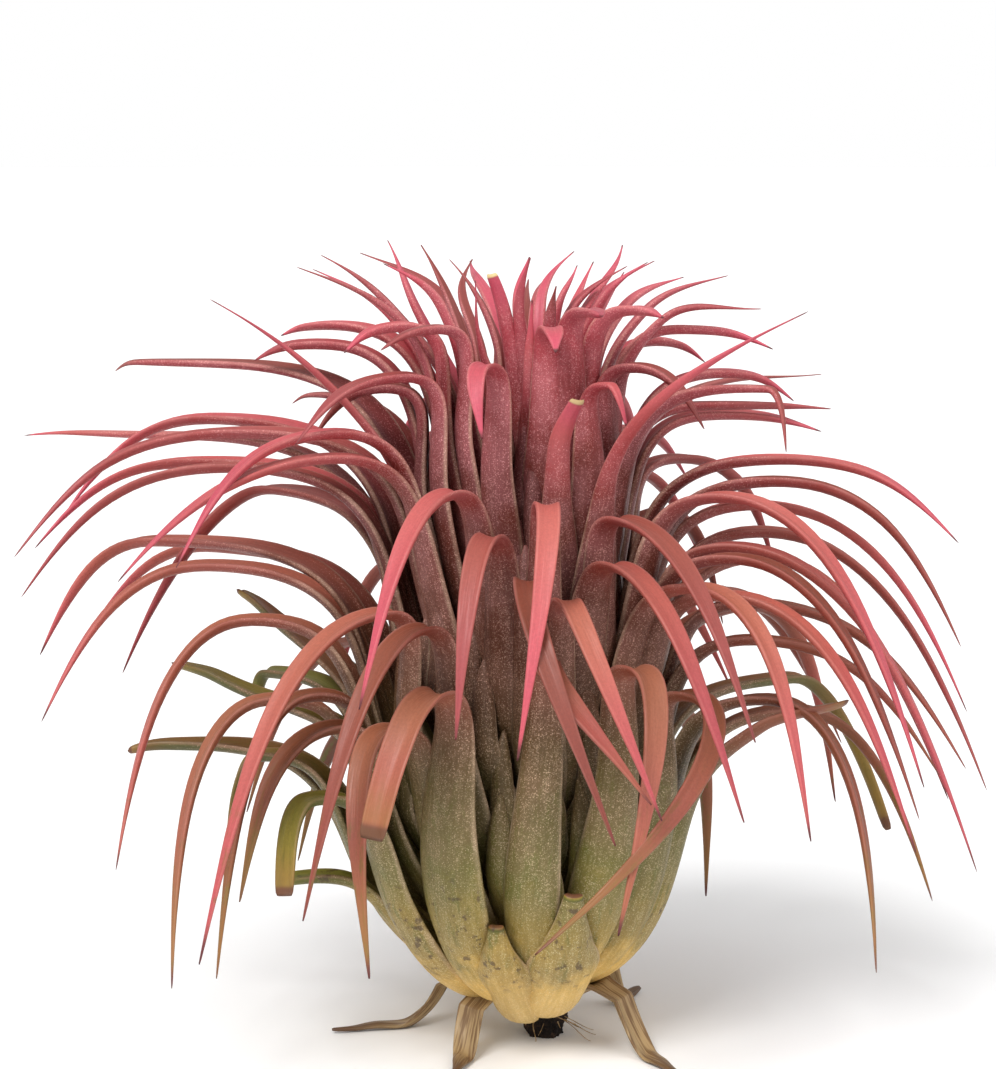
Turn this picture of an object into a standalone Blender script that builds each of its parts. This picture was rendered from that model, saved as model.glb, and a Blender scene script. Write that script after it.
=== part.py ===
"""Sky plant: a tall rosette of arching leaves round a short stem, on a dry root stub."""

import math
import random

import bmesh
import bpy
from mathutils import Vector
from mathutils.bvhtree import BVHTree

MM = 0.001

# Stem and stub, millimetres
STUB_HEIGHT = 5.0
STUB_OFFSET = 1.6
STEM_FOOT = 5.3
STEM_TOP = 86.0
STEM_RADIUS_FOOT = 5.0
STEM_RADIUS_TOP = 2.8
NODE_GAP = 0.4

# Whorls: leaves grouped by where they leave the stem
WHORLS = 8
WHORL_PITCH = 8.7
BASAL_HEIGHT = 6.0
ROOT_SPREAD = 3.0
COLLAR_HEIGHT = 6.0
COLLAR_WALL = 2.2
COLLAR_SIDES = 12
BACK_OF_BASAL = 4
BACK_PER_WHORL = (4, 4, 4, 4, 4, 3, 3, 3)

# Sheath curve: how far the leaf bases stand off the stem
SHEATH_START = 1.3
SHEATH_BULGE_FOOT = 24.0
SHEATH_BULGE_FALL = 0.255
SHEATH_LENGTH = 11.0
FULLER_SIDE = 190.0
FULLER_SHARE = 0.15
SHEATH_LEAN_FOOT = 0.12
SHEATH_LEAN_TOP = 0.14
SHOULDER_SHARE = 0.62

# Leaf section, millimetres
LEAF_WIDTH_FOOT = 11.5
LEAF_WIDTH_TOP = 7.6
MIDDLE_THICKNESS = 1.25
BLADE_THICKNESS = 0.95
EDGE_THICKNESS = 0.62
CLEARANCE = 0.22
WIDE_SHARE = 1.2
OLD_SHARE = 0.8
SCALE_SHARE = 0.84
SCALE_STAND = 2.4
SCALE_SWELL = 1.8

# Share of the full width at each station along a leaf
# 0 root, 1 shoulder, 2 crest, 3 tip
WIDTH_AT = ((0.0, 0.20), (0.2, 0.60), (0.5, 0.96), (0.75, 0.92), (1.0, 0.76), (1.5, 0.55),
            (2.0, 0.42), (2.4, 0.36), (2.7, 0.26), (3.0, 0.07))
OLD_WIDTH_AT = ((0.0, 0.20), (0.2, 0.60), (0.5, 0.90), (1.0, 0.80), (1.5, 0.68),
                (2.0, 0.56), (2.4, 0.46), (2.7, 0.32), (3.0, 0.07))
SCALE_WIDTH_AT = ((0.0, 0.45), (0.3, 0.80), (1.0, 1.0), (2.0, 0.82), (3.0, 0.44))

# Leaves read by eye: azimuth, crest reach, crest height, swing, tip reach, tip height, kind
# arch rises to the crest and falls; rise keeps rising; blunt ends in a cut; wide is broad;
# scale is the short swollen base of a leaf that was pulled off
HEART = (
    (-154, 11, 125, 5, 12, 134, "rise"),
    (-136, 7, 125, 13, 10, 135, "blunt rise"),
    (-114, 7, 127, 1, 11, 138, "rise"),
    (113, 7, 126, -20, 15, 137, "rise"),
    (82, 6, 128, -17, 17, 138, "rise"),
    (0, 4, 129, 35, 9, 136, "rise"),
    (-59, 5, 127, -1, 7, 133, "rise"),
    (21, 6, 127, 1, 16, 136, "rise"),
    (23, 10, 129, 8, 24, 139, "rise"),
    (-20, 12, 130, 3, 20, 137, "rise"),
    (-96, 10, 118, 3, 13, 131, "rise"),
    (165, 8, 126, -6, 16, 137, "rise"),
    (55, 9, 124, 6, 22, 136, "rise"),
)
CROWN = (
    (163, 21, 127, -13, 30, 140, "rise"),
    (180, 24, 128, 0, 37, 138, "rise"),
    (161, 25, 125, 2, 41, 135, "rise"),
    (-167, 23, 126, -4, 41, 136, "rise"),
    (-154, 18, 130, -1, 28, 137, "rise"),
    (143, 17, 126, -14, 28, 139, "rise"),
    (133, 16, 125, -15, 31, 136, "rise"),
    (38, 20, 128, 3, 36, 133, "rise"),
    (16, 20, 128, -2, 35, 134, "rise"),
    (-10, 22, 127, 2, 39, 129, "rise"),
    (0, 25, 125, -7, 41, 122, "arch"),
    (30, 24, 122, -1, 35, 118, "arch"),
    (-36, 21, 129, 1, 26, 128, "arch"),
    (164, 37, 125, -1, 47, 123, "arch"),
    (172, 38, 122, -2, 50, 119, "arch"),
    (152, 43, 112, -1, 50, 110, "arch"),
    (-161, 25, 126, 1, 35, 122, "arch"),
    (-142, 22, 126, -2, 33, 123, "arch"),
    (-147, 27, 118, -1, 48, 108, "arch"),
    (-176, 26, 115, -1, 39, 105, "arch"),
    (-115, 20, 120, 7, 29, 109, "arch"),
    (-82, 18, 126, -1, 25, 123, "arch"),
    (-64, 20, 129, -3, 27, 129, "arch"),
    (-79, 20, 106, 7, 23, 115, "blunt rise"),
    (-55, 17, 117, 2, 25, 110, "arch"),
    (-55, 24, 106, 28, 52, 130, "wide rise"),
    (-34, 45, 117, -3, 50, 107, "wide arch"),
    (9, 33, 117, -1, 46, 112, "arch"),
    (-25, 19, 119, -2, 31, 109, "arch"),
    (15, 30, 111, 0, 55, 110, "arch"),
    (27, 33, 109, -5, 53, 106, "arch"),
    (33, 33, 111, -2, 68, 114, "rise"),
)
LEFT = (
    (163, 84, 104, 0, 101, 103, "arch"),
    (166, 60, 108, 8, 84, 91, "arch"),
    (-169, 53, 108, 5, 90, 89, "arch"),
    (180, 54, 101, 3, 89, 79, "arch"),
    (169, 60, 101, 8, 87, 87, "arch"),
    (-148, 41, 105, -8, 74, 85, "arch"),
    (-150, 40, 109, 1, 69, 89, "arch"),
    (152, 54, 94, 16, 74, 63, "arch"),
    (168, 70, 86, 5, 89, 66, "arch"),
    (175, 58, 83, 8, 86, 57, "arch"),
    (157, 65, 83, 6, 85, 70, "arch"),
    (158, 53, 73, 0, 58, 76, "blunt rise"),
    (-172, 28, 107, -2, 56, 131, "rise"),
    (165, 72, 118, -2, 79, 116, "arch"),
    (165, 59, 61, -1, 68, 63, "blunt rise"),
    (157, 52, 61, -1, 55, 56, "blunt arch"),
)
FRONT = (
    (-174, 50, 75, 14, 75, 36, "arch"),
    (-162, 48, 63, 16, 72, 20, "arch"),
    (-139, 34, 79, 2, 74, 27, "arch"),
    (-150, 44, 65, 6, 65, 21, "arch"),
    (-121, 38, 78, -2, 68, 36, "arch"),
    (-116, 34, 100, -2, 60, 69, "arch"),
    (-124, 41, 61, 10, 58, 25, "arch"),
    (-104, 34, 93, 0, 54, 64, "arch"),
    (-87, 31, 98, -3, 54, 61, "arch"),
    (-93, 35, 86, 12, 58, 48, "arch"),
    (-82, 37, 83, 1, 56, 51, "arch"),
    (-60, 29, 95, 2, 64, 64, "arch"),
    (-66, 33, 88, 5, 66, 52, "arch"),
)
RIGHT = (
    (-7, 43, 103, -5, 73, 90, "arch"),
    (-16, 44, 100, -4, 75, 74, "arch"),
    (-6, 39, 95, -6, 75, 61, "arch"),
    (-29, 37, 98, 1, 72, 52, "arch"),
    (7, 40, 89, -11, 79, 45, "arch"),
    (-24, 37, 89, 5, 78, 35, "arch"),
    (-30, 40, 88, -1, 72, 47, "arch"),
    (-34, 40, 82, 3, 74, 43, "arch"),
    (20, 43, 83, -13, 75, 40, "arch"),
    (-45, 39, 84, -4, 66, 47, "arch"),
    (-14, 42, 62, -13, 66, 21, "arch"),
    (28, 54, 59, -9, 69, 31, "blunt arch"),
    (36, 48, 72, 4, 77, 30, "arch"),
    (-12, 39, 72, -4, 71, 51, "arch"),
    (0, 37, 77, -8, 75, 50, "arch"),
    (46, 47, 74, -5, 80, 41, "arch"),
)
BASAL = (
    (-174, 48, 51, 7, 54, 31, "blunt arch"),
    (-141, 48, 49, 4, 56, 35, "blunt arch"),
    (-163, 41, 31, -2, 46, 30, "blunt arch"),
    (176, 64, 51, 1, 72, 50, "blunt arch"),
    (6, 47, 57, -10, 70, 25, "arch"),
    (-20, 41, 58, 12, 54, 60, "blunt rise"),
    (-118, 42, 68, -2, 59, 48, "blunt wide arch"),
    (-144, 42, 60, 5, 64, 35, "arch"),
    (-88, 38, 73, 27, 57, 54, "arch"),
    (-62, 36, 71, -16, 53, 32, "arch"),
    (-40, 34, 65, -49, 55, 30, "arch"),
    (-104, 24, 20, 0, 28, 27, "blunt scale rise"),
    (-78, 25, 24, 0, 30, 33, "blunt wide scale rise"),
)
# Old leaves that droop to the surface: azimuth, crest reach, crest height, swing, tip reach
DROOPING = ((-133, 15, 10, 14, 29), (-31, 17, 11, -16, 37), (42, 17, 11, 9, 32), (101, 17, 11, -12, 38),
            (167, 16, 10, 15, 36))

# Stations where a leaf gets a ring of points
ARCH_STATIONS = (0.0, 0.2, 0.6, 1.2, 1.75, 2.1, 2.5, 3.0)
BACK_STATIONS = (0.0, 0.3, 1.0, 1.8, 2.3, 3.0)
RISE_STATIONS = (0.0, 0.2, 0.55, 1.1, 2.0, 3.0)
OLD_STATIONS = (0.0, 0.5, 1.6, 2.2, 2.6, 3.0)
BLADE_FROM = 1.6
BACK_SEED = 1
ROUNDS = 60
OUTWARD_SHARE = 0.35
TURN_LIMIT = 9.0
BEND_LIMIT = 18.0


class Leaf:
    """One leaf: where it leaves the stem, its crest, its tip and how it may be bent aside."""

    def __init__(self, row, give):
        self.azimuth = row[0]
        self.crest = [float(row[1]), float(row[2])]
        self.swing = row[3]
        self.tip = [float(row[4]), float(row[5])]
        self.rising = "rise" in row[6]
        self.blunt = "blunt" in row[6]
        self.wide = "wide" in row[6]
        self.old = "old" in row[6]
        self.scale = "scale" in row[6]
        self.give = give
        self.turn = 0.0
        self.bend = 0.0
        self.whorl = 0
        self.root = 0.0
        self.draw_in = 1.0

    def stations(self):
        """Return the ring stations this leaf needs."""
        if self.old:
            return OLD_STATIONS
        if self.rising:
            return RISE_STATIONS
        return BACK_STATIONS if self.give == 1.0 else ARCH_STATIONS

    def push(self, station, degrees):
        """Move the leaf sideways where it is touched and return how far it went."""
        turn, bend = self.turn, self.bend
        if station > 2.2:
            self.bend = min(max(bend + 2.0 * degrees * self.give, -BEND_LIMIT), BEND_LIMIT)
        else:
            self.turn = min(max(turn + degrees * self.give, -TURN_LIMIT), TURN_LIMIT)
        return abs(self.turn - turn) + abs(self.bend - bend)

    def width(self, station):
        """Return the leaf width at a station."""
        full = LEAF_WIDTH_FOOT + (LEAF_WIDTH_TOP - LEAF_WIDTH_FOOT) * self.root / STEM_TOP
        if self.wide:
            full *= WIDE_SHARE
        if self.scale:
            return full * SCALE_SHARE * table_value(SCALE_WIDTH_AT, station)
        if self.old:
            return full * OLD_SHARE * table_value(OLD_WIDTH_AT, station)
        value = full * table_value(WIDTH_AT, station)
        if self.blunt and station > 2.0:
            value = max(value, full * (0.42 - 0.12 * (station - 2.0)))
        return max(value, 0.7)


def table_value(table, at):
    """Return the straight-line value of a table of pairs."""
    for (a, va), (b, vb) in zip(table, table[1:]):
        if at <= b:
            return va + (vb - va) * (at - a) / (b - a)
    return table[-1][1]


def clear_scene():
    """Remove every object of the start scene."""
    for item in list(bpy.data.objects):
        bpy.data.objects.remove(item, do_unlink=True)


def stem_radius(z):
    """Return the stem radius at a height."""
    share = min(max((z - STEM_FOOT) / (STEM_TOP - STEM_FOOT), 0.0), 1.0)
    return STEM_RADIUS_FOOT + (STEM_RADIUS_TOP - STEM_RADIUS_FOOT) * share


def sheath_reach(z, leaf):
    """Return how far from the axis a leaf base stands at a height."""
    up = z - leaf.root
    bulge = SHEATH_BULGE_FOOT - SHEATH_BULGE_FALL * leaf.root
    lean = SHEATH_LEAN_FOOT + (SHEATH_LEAN_TOP - SHEATH_LEAN_FOOT) * leaf.root / STEM_TOP
    side = 1.0 + FULLER_SHARE * math.cos(math.radians(leaf.azimuth + leaf.turn - FULLER_SIDE))
    off = (bulge * (1.0 - math.exp(-up / SHEATH_LENGTH)) + lean * up) * side
    if leaf.scale:
        off += SCALE_STAND * (1.0 - math.exp(-up / 4.0))
    return stem_radius(leaf.root) + SHEATH_START + off * leaf.draw_in


def bezier(a, b, c, d, t):
    """Return a point of a cubic curve in the plane."""
    k = 1.0 - t
    u, v, w, x = k * k * k, 3 * k * k * t, 3 * k * t * t, t * t * t
    return (u * a[0] + v * b[0] + w * c[0] + x * d[0], u * a[1] + v * b[1] + w * c[1] + x * d[1])


def unit(x, y):
    """Return a plane vector of length one."""
    length = math.hypot(x, y)
    return (x / length, y / length)


def plane_point(leaf, station):
    """Return reach and height of the centre line at a station."""
    shoulder_z = leaf.root + SHOULDER_SHARE * (leaf.crest[1] - leaf.root)
    if station <= 1.0:
        z = leaf.root + station * (shoulder_z - leaf.root)
        return (sheath_reach(z, leaf), z)
    shoulder = (sheath_reach(shoulder_z, leaf), shoulder_z)
    below = sheath_reach(shoulder_z - 0.5, leaf)
    leave = unit(shoulder[0] - below, 0.5)
    crest = leaf.crest
    tip = leaf.tip
    if leaf.rising:
        over = unit(tip[0] - shoulder[0], tip[1] - shoulder[1])
    else:
        over = (1.0, 0.0)
    if station <= 2.0:
        size = 0.42 * math.hypot(crest[0] - shoulder[0], crest[1] - shoulder[1])
        if not leaf.rising:
            size *= 1.15
        b = (shoulder[0] + leave[0] * size, shoulder[1] + leave[1] * size)
        c = (crest[0] - over[0] * size, crest[1] - over[1] * size)
        return bezier(shoulder, b, c, crest, station - 1.0)
    across = tip[0] - crest[0]
    drop = tip[1] - crest[1]
    if leaf.old:
        b = (crest[0] + across * 0.15, crest[1] * 0.40)
        c = (tip[0] - across * 0.60, tip[1])
        return bezier(crest, b, c, tip, station - 2.0)
    size = math.hypot(across, drop)
    if leaf.rising:
        end = unit(across * 1.25, drop * 0.8)
        b = (crest[0] + over[0] * size * 0.35, crest[1] + over[1] * size * 0.35)
    else:
        end = unit(across * 0.55, drop * 1.25 - 0.2)
        b = (crest[0] + max(across * 0.55, 0.22 * size), crest[1])
    c = (tip[0] - end[0] * size * 0.36, tip[1] - end[1] * size * 0.36)
    return bezier(crest, b, c, tip, station - 2.0)


def turn_share(station):
    """Return how much of its swing a leaf has taken at a station."""
    q = max(station - 2.0, 0.0)
    return q * q * (2.0 - q)


def space_point(leaf, station):
    """Return the centre line point of a leaf in space."""
    reach, z = plane_point(leaf, station)
    angle = math.radians(leaf.azimuth + leaf.turn + (leaf.swing + leaf.bend) * turn_share(station))
    return Vector((reach * math.cos(angle), reach * math.sin(angle), z))


def ring(leaf, station, spare):
    """Return the six section points of a leaf at a station, grown by a spare width."""
    here = space_point(leaf, station)
    ahead = space_point(leaf, min(station + 0.02, 3.0))
    behind = space_point(leaf, max(station - 0.02, 0.0))
    along = (ahead - behind).normalized()
    side = Vector((-here.y, here.x, 0.0)).normalized()
    side = (side - along * side.dot(along)).normalized()
    inward = along.cross(side)
    half = leaf.width(station) / 2.0 + spare
    reach = math.hypot(here.x, here.y)
    blade = min(max(station - 1.0, 0.0), 1.0)
    bow = max(reach * 0.9, half) * (1.0 - blade) + max(half * 1.7, 2.0) * blade
    angle = half / bow
    middle = MIDDLE_THICKNESS + (BLADE_THICKNESS - MIDDLE_THICKNESS) * min(station / 2.0, 1.0)
    if station > 2.0:
        middle += (EDGE_THICKNESS - BLADE_THICKNESS) * (station - 2.0)
    if leaf.scale:
        middle *= SCALE_SWELL
    points = []
    for place, thick in ((-1, EDGE_THICKNESS), (0, middle), (1, EDGE_THICKNESS)):
        a = angle * place
        out = side * math.sin(a) - inward * math.cos(a)
        mid = here + side * (bow * math.sin(a)) + inward * (bow * (1.0 - math.cos(a)))
        points.append((mid + out * (thick / 2.0 + spare), mid - out * (thick / 2.0 + spare)))
    outer = [p[0] for p in points]
    inner = [p[1] for p in points]
    return outer + inner[::-1]


def leaf_shape(leaf, spare=0.0, first=0.0):
    """Return vertices and faces of a leaf, and the station of each face."""
    stations = [s for s in leaf.stations() if s >= first]
    verts = []
    for station in stations:
        verts.extend(ring(leaf, station, spare))
    if leaf.old:
        verts = [Vector((v.x, v.y, max(v.z, 0.0))) for v in verts]
    faces = []
    marks = []
    for k in range(len(stations) - 1):
        for n in range(6):
            a = 6 * k + n
            b = 6 * k + (n + 1) % 6
            faces.append((a, b, b + 6, a + 6))
            marks.append(0.5 * (stations[k] + stations[k + 1]))
    last = 6 * (len(stations) - 1)
    faces.append((5, 4, 1, 0))
    faces.append((4, 3, 2, 1))
    faces.append((last, last + 1, last + 4, last + 5))
    faces.append((last + 1, last + 2, last + 3, last + 4))
    marks.extend((stations[0], stations[0], 3.0, 3.0))
    return verts, faces, marks


def whorl_foot(whorl):
    """Return the height where the collar of a whorl starts."""
    if whorl > WHORLS:
        return STEM_TOP + NODE_GAP
    return BASAL_HEIGHT + WHORL_PITCH * whorl


def place_whorl(leaves, whorl):
    """Set the root height of the leaves of a whorl, lowest crest first."""
    foot = whorl_foot(whorl) + 1.0
    ordered = sorted(leaves, key=lambda leaf: leaf.crest[1])
    for rank, leaf in enumerate(ordered):
        leaf.whorl = whorl
        leaf.root = foot + ROOT_SPREAD * rank / max(len(ordered) - 1, 1)
        room = sheath_reach(leaf.crest[1], leaf)
        start = stem_radius(leaf.root) + SHEATH_START
        if leaf.crest[0] < room + 1.5 and whorl > WHORLS:
            leaf.draw_in = max((leaf.crest[0] - 1.5 - start) / (room - start), 0.02)
        elif leaf.crest[0] < room + 2.0 and not leaf.rising:
            leaf.crest[0] = room + 2.0
        elif leaf.crest[0] < room:
            leaf.crest[0] = room


def widest_gap(angles, low, high):
    """Return the middle of the widest free arc between two azimuths."""
    marks = sorted([low] + [a for a in angles if low < a < high] + [high])
    spans = [(b - a, a) for a, b in zip(marks, marks[1:])]
    size, start = max(spans)
    return start + size / 2.0


def back_leaves(group, count, draw):
    """Return leaves for the side away from the front, in the widest gaps of a whorl."""
    angles = [leaf.azimuth for leaf in group]
    height = sum(leaf.crest[1] for leaf in group) / len(group)
    level = (height - 60.0) / 66.0
    extra = []
    for _ in range(count):
        azimuth = widest_gap(angles, 18.0, 162.0) + draw.uniform(-4.0, 4.0)
        angles.append(azimuth)
        reach = 41.0 - 20.0 * level + draw.uniform(-4.0, 4.0)
        crest = height + draw.uniform(-4.0, 4.0)
        drop = 38.0 - 32.0 * level + draw.uniform(-7.0, 7.0)
        tip_reach = 74.0 - 32.0 * level + draw.uniform(-6.0, 6.0)
        kind = "arch"
        if level > 0.9:
            kind = "rise"
            drop = -9.0 + draw.uniform(-2.0, 2.0)
        row = (azimuth, reach, crest, draw.uniform(-8.0, 8.0), tip_reach, crest - drop, kind)
        extra.append(Leaf(row, 1.0))
    return extra


def grow_leaves():
    """Return the leaves of each whorl, lowest first."""
    draw = random.Random(BACK_SEED)
    basal = [Leaf(row, 0.5) for row in BASAL]
    basal.extend(back_leaves(basal, BACK_OF_BASAL, draw))
    for azimuth, reach, height, swing, tip_reach in DROOPING:
        basal.append(Leaf((azimuth, reach, height, swing, tip_reach, 0.15, "old arch"), 0.5))
    place_whorl(basal, 0)
    whorls = [basal]
    seen = [Leaf(row, 0.5) for row in CROWN + LEFT + FRONT + RIGHT]
    seen.sort(key=lambda leaf: leaf.crest[1] - OUTWARD_SHARE * leaf.crest[0])
    for whorl in range(WHORLS):
        first = len(seen) * whorl // WHORLS
        last = len(seen) * (whorl + 1) // WHORLS
        group = seen[first:last]
        group.extend(back_leaves(group, BACK_PER_WHORL[whorl], draw))
        place_whorl(group, whorl + 1)
        whorls.append(group)
    heart = [Leaf(row, 0.5) for row in HEART]
    place_whorl(heart, WHORLS + 1)
    whorls.append(heart)
    return whorls


def touching(leaves, spare):
    """Return pairs of leaves that come too close, with where on each leaf."""
    full = []
    blades = []
    for leaf in leaves:
        verts, faces, marks = leaf_shape(leaf, spare)
        low = [min(v[k] for v in verts) for k in range(3)]
        high = [max(v[k] for v in verts) for k in range(3)]
        full.append((BVHTree.FromPolygons(verts, faces), marks, verts, faces, low, high))
        verts, faces, marks = leaf_shape(leaf, spare, BLADE_FROM)
        blades.append((BVHTree.FromPolygons(verts, faces), marks, verts, faces, low, high))
    hits = []
    for i in range(len(leaves)):
        for j in range(i + 1, len(leaves)):
            same = leaves[i].whorl == leaves[j].whorl
            a, b = (blades[i], blades[j]) if same else (full[i], full[j])
            if any(a[4][k] > b[5][k] or b[4][k] > a[5][k] for k in range(3)):
                continue
            pairs = a[0].overlap(b[0])
            if pairs:
                place_a = hit_place(a, [p[0] for p in pairs])
                place_b = hit_place(b, [p[1] for p in pairs])
                hits.append((i, j, same, place_a, place_b))
    return hits


def hit_place(shape, indices):
    """Return the mean station and azimuth of some faces of a leaf."""
    _, marks, verts, faces, _, _ = shape
    station = sum(marks[k] for k in indices) / len(indices)
    middle = Vector((0.0, 0.0, 0.0))
    for k in indices:
        for corner in faces[k]:
            middle += verts[corner]
    return station, math.degrees(math.atan2(middle.y, middle.x))


def bend_clear(leaves):
    """Turn and bend leaves sideways until those of different whorls pass each other freely."""
    ways = {}
    for turn in range(ROUNDS):
        hits = touching(leaves, CLEARANCE)
        if not any(not hit[2] for hit in hits):
            break
        for i, j, same, (at_i, az_i), (at_j, az_j) in hits:
            if same and turn > ROUNDS // 2:
                continue
            side = (az_i - az_j + 180.0) % 360.0 - 180.0
            first = 1.0 if side > 0.0 or (side == 0.0 and i > j) else -1.0
            way = ways.setdefault((i, j), first)
            moved = 0.0
            for leaf, at, sign in ((leaves[i], at_i, way), (leaves[j], at_j, -way)):
                moved += leaf.push(at, (0.6 if same else 1.2) * sign)
            if moved < 0.1:
                ways[(i, j)] = -way


def make_material(name, colour, roughness):
    """Return a Principled material."""
    material = bpy.data.materials.new(name)
    material.use_nodes = True
    shader = material.node_tree.nodes["Principled BSDF"]
    shader.inputs["Base Color"].default_value = (*colour, 1.0)
    shader.inputs["Roughness"].default_value = roughness
    material.diffuse_color = (*colour, 1.0)
    return material


def new_object(name, verts, faces):
    """Return an object in the scene made from millimetre vertices."""
    mesh = bpy.data.meshes.new(name)
    mesh.from_pydata([(v[0] * MM, v[1] * MM, v[2] * MM) for v in verts], [], faces)
    item = bpy.data.objects.new(name, mesh)
    bpy.context.scene.collection.objects.link(item)
    face_out(item)
    return item


def face_out(item):
    """Turn every face of a closed object outward."""
    shape = bmesh.new()
    shape.from_mesh(item.data)
    bmesh.ops.recalc_face_normals(shape, faces=shape.faces)
    shape.to_mesh(item.data)
    shape.free()


def finish(item, material):
    """Give an object its material and smooth shading with sharp folds kept."""
    item.data.materials.clear()
    item.data.materials.append(material)
    for face in item.data.polygons:
        face.use_smooth = True
    item.data.set_sharp_from_angle(angle=math.radians(50.0))


def turned(name, outline, sides):
    """Return a closed turned object from a loop or an open outline that ends on the axis."""
    verts = []
    faces = []
    rows = []
    for reach, z in outline:
        if reach == 0.0:
            rows.append([len(verts)] * sides)
            verts.append((0.0, 0.0, z))
            continue
        rows.append([len(verts) + n for n in range(sides)])
        for n in range(sides):
            angle = 2.0 * math.pi * n / sides
            verts.append((reach * math.cos(angle), reach * math.sin(angle), z))
    closed = outline[0][0] > 0.0
    pairs = list(zip(rows, rows[1:]))
    if closed:
        pairs.append((rows[-1], rows[0]))
    for low, high in pairs:
        for n in range(sides):
            m = (n + 1) % sides
            corners = []
            for corner in (low[n], low[m], high[m], high[n]):
                if corner not in corners:
                    corners.append(corner)
            faces.append(corners)
    return new_object(name, verts, faces)


def build_stub():
    """Build the dead, ragged root stub with its flat foot."""
    draw = random.Random(7)
    sides = 14
    verts = []
    for reach, z in ((3.2, 0.0), (3.9, 1.1), (3.8, 2.6), (4.5, 3.9), (4.2, STUB_HEIGHT)):
        for n in range(sides):
            angle = 2.0 * math.pi * n / sides
            r = reach * draw.uniform(0.82, 1.12)
            up = 0.0 if z in (0.0, STUB_HEIGHT) else draw.uniform(-0.25, 0.25)
            verts.append((STUB_OFFSET + r * math.cos(angle), r * math.sin(angle), z + up))
    faces = []
    for k in range(4):
        for n in range(sides):
            m = (n + 1) % sides
            faces.append((sides * k + n, sides * k + m, sides * (k + 1) + m, sides * (k + 1) + n))
    faces.append(tuple(range(sides))[::-1])
    faces.append(tuple(range(sides * 4, sides * 5)))
    stub = new_object("root_stub", verts, faces)
    finish(stub, make_material("dead_root", (0.035, 0.027, 0.022), 0.95))


def build_stem():
    """Build the hidden stem."""
    outline = ((0.0, STEM_FOOT), (STEM_RADIUS_FOOT, STEM_FOOT), (STEM_RADIUS_TOP, STEM_TOP), (0.0, STEM_TOP))
    stem = turned("stem", outline, COLLAR_SIDES)
    finish(stem, make_material("stem_flesh", (0.42, 0.40, 0.22), 0.7))


def collar(name, whorl):
    """Return the collar round the stem that joins the leaves of a whorl."""
    low = whorl_foot(whorl)
    high = low + COLLAR_HEIGHT
    if whorl > WHORLS:
        outline = ((0.0, low), (4.6, low), (5.2, low + 2.0), (4.4, high), (0.0, high + 1.0))
    else:
        inner_low = stem_radius(low) + NODE_GAP
        inner_high = stem_radius(high) + NODE_GAP
        outline = (
            (inner_low, low),
            (inner_low + COLLAR_WALL, low + 0.8),
            (inner_high + COLLAR_WALL, high - 0.8),
            (inner_high, high),
        )
    return turned(name, outline, COLLAR_SIDES)


def build_whorl(name, whorl, leaves, material):
    """Build the leaves of a whorl as one body on their collar."""
    body = collar(name, whorl)
    group = bpy.data.collections.new(name + "_parts")
    bpy.context.scene.collection.children.link(group)
    for leaf in leaves:
        verts, faces, _ = leaf_shape(leaf)
        item = new_object(name + "_leaf", verts, faces)
        bpy.context.scene.collection.objects.unlink(item)
        group.objects.link(item)
    join = body.modifiers.new("join", "BOOLEAN")
    join.operation = "UNION"
    join.operand_type = "COLLECTION"
    join.collection = group
    join.solver = "MANIFOLD"
    bpy.context.view_layer.objects.active = body
    body.select_set(True)
    bpy.ops.object.modifier_apply(modifier=join.name)
    body.select_set(False)
    for item in list(group.objects):
        bpy.data.objects.remove(item, do_unlink=True)
    bpy.data.collections.remove(group)
    tidy_union(body)
    finish(body, material)


def tidy_union(body):
    """Join points that the union left on top of each other and drop loose scrap."""
    shape = bmesh.new()
    shape.from_mesh(body.data)
    bmesh.ops.remove_doubles(shape, verts=shape.verts, dist=0.000001)
    groups = connected(shape)
    scrap = [vert for group in groups[1:] for vert in group]
    bmesh.ops.delete(shape, geom=scrap, context="VERTS")
    shape.to_mesh(body.data)
    shape.free()


def connected(shape):
    """Return the connected groups of points of a shape, largest first."""
    groups = []
    seen = set()
    for start in shape.verts:
        if start in seen:
            continue
        seen.add(start)
        group = [start]
        for vert in group:
            for edge in vert.link_edges:
                other = edge.other_vert(vert)
                if other not in seen:
                    seen.add(other)
                    group.append(other)
        groups.append(group)
    return sorted(groups, key=len, reverse=True)


def whorl_name(whorl):
    """Return the name of a whorl."""
    if whorl == 0:
        return "basal_leaves"
    if whorl > WHORLS:
        return "heart_leaves"
    return "leaf_whorl_%d" % whorl


def whorl_colour(whorl):
    """Return the mean leaf colour of a whorl, olive below and rose above."""
    share = min(whorl / (WHORLS + 1.0), 1.0)
    olive, brown, rose = (0.20, 0.19, 0.07), (0.33, 0.15, 0.10), (0.55, 0.09, 0.13)
    if share < 0.35:
        low, high, t = olive, brown, share / 0.35
    else:
        low, high, t = brown, rose, (share - 0.35) / 0.65
    return tuple(a + (b - a) * t for a, b in zip(low, high))


def main():
    """Build every sub-part."""
    clear_scene()
    whorls = grow_leaves()
    bend_clear([leaf for whorl in whorls for leaf in whorl])
    build_stub()
    build_stem()
    for whorl, leaves in enumerate(whorls):
        name = whorl_name(whorl)
        build_whorl(name, whorl, leaves, make_material(name + "_skin", whorl_colour(whorl), 0.6))


if __name__ == "__main__":
    main()
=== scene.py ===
"""Sky plant: the looks of a tall rosette of arching leaves on a dry root stub."""

import math
import random
from types import SimpleNamespace

import bpy
import numpy as np
from mathutils import Matrix, Vector, noise
from mathutils.bvhtree import BVHTree


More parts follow.
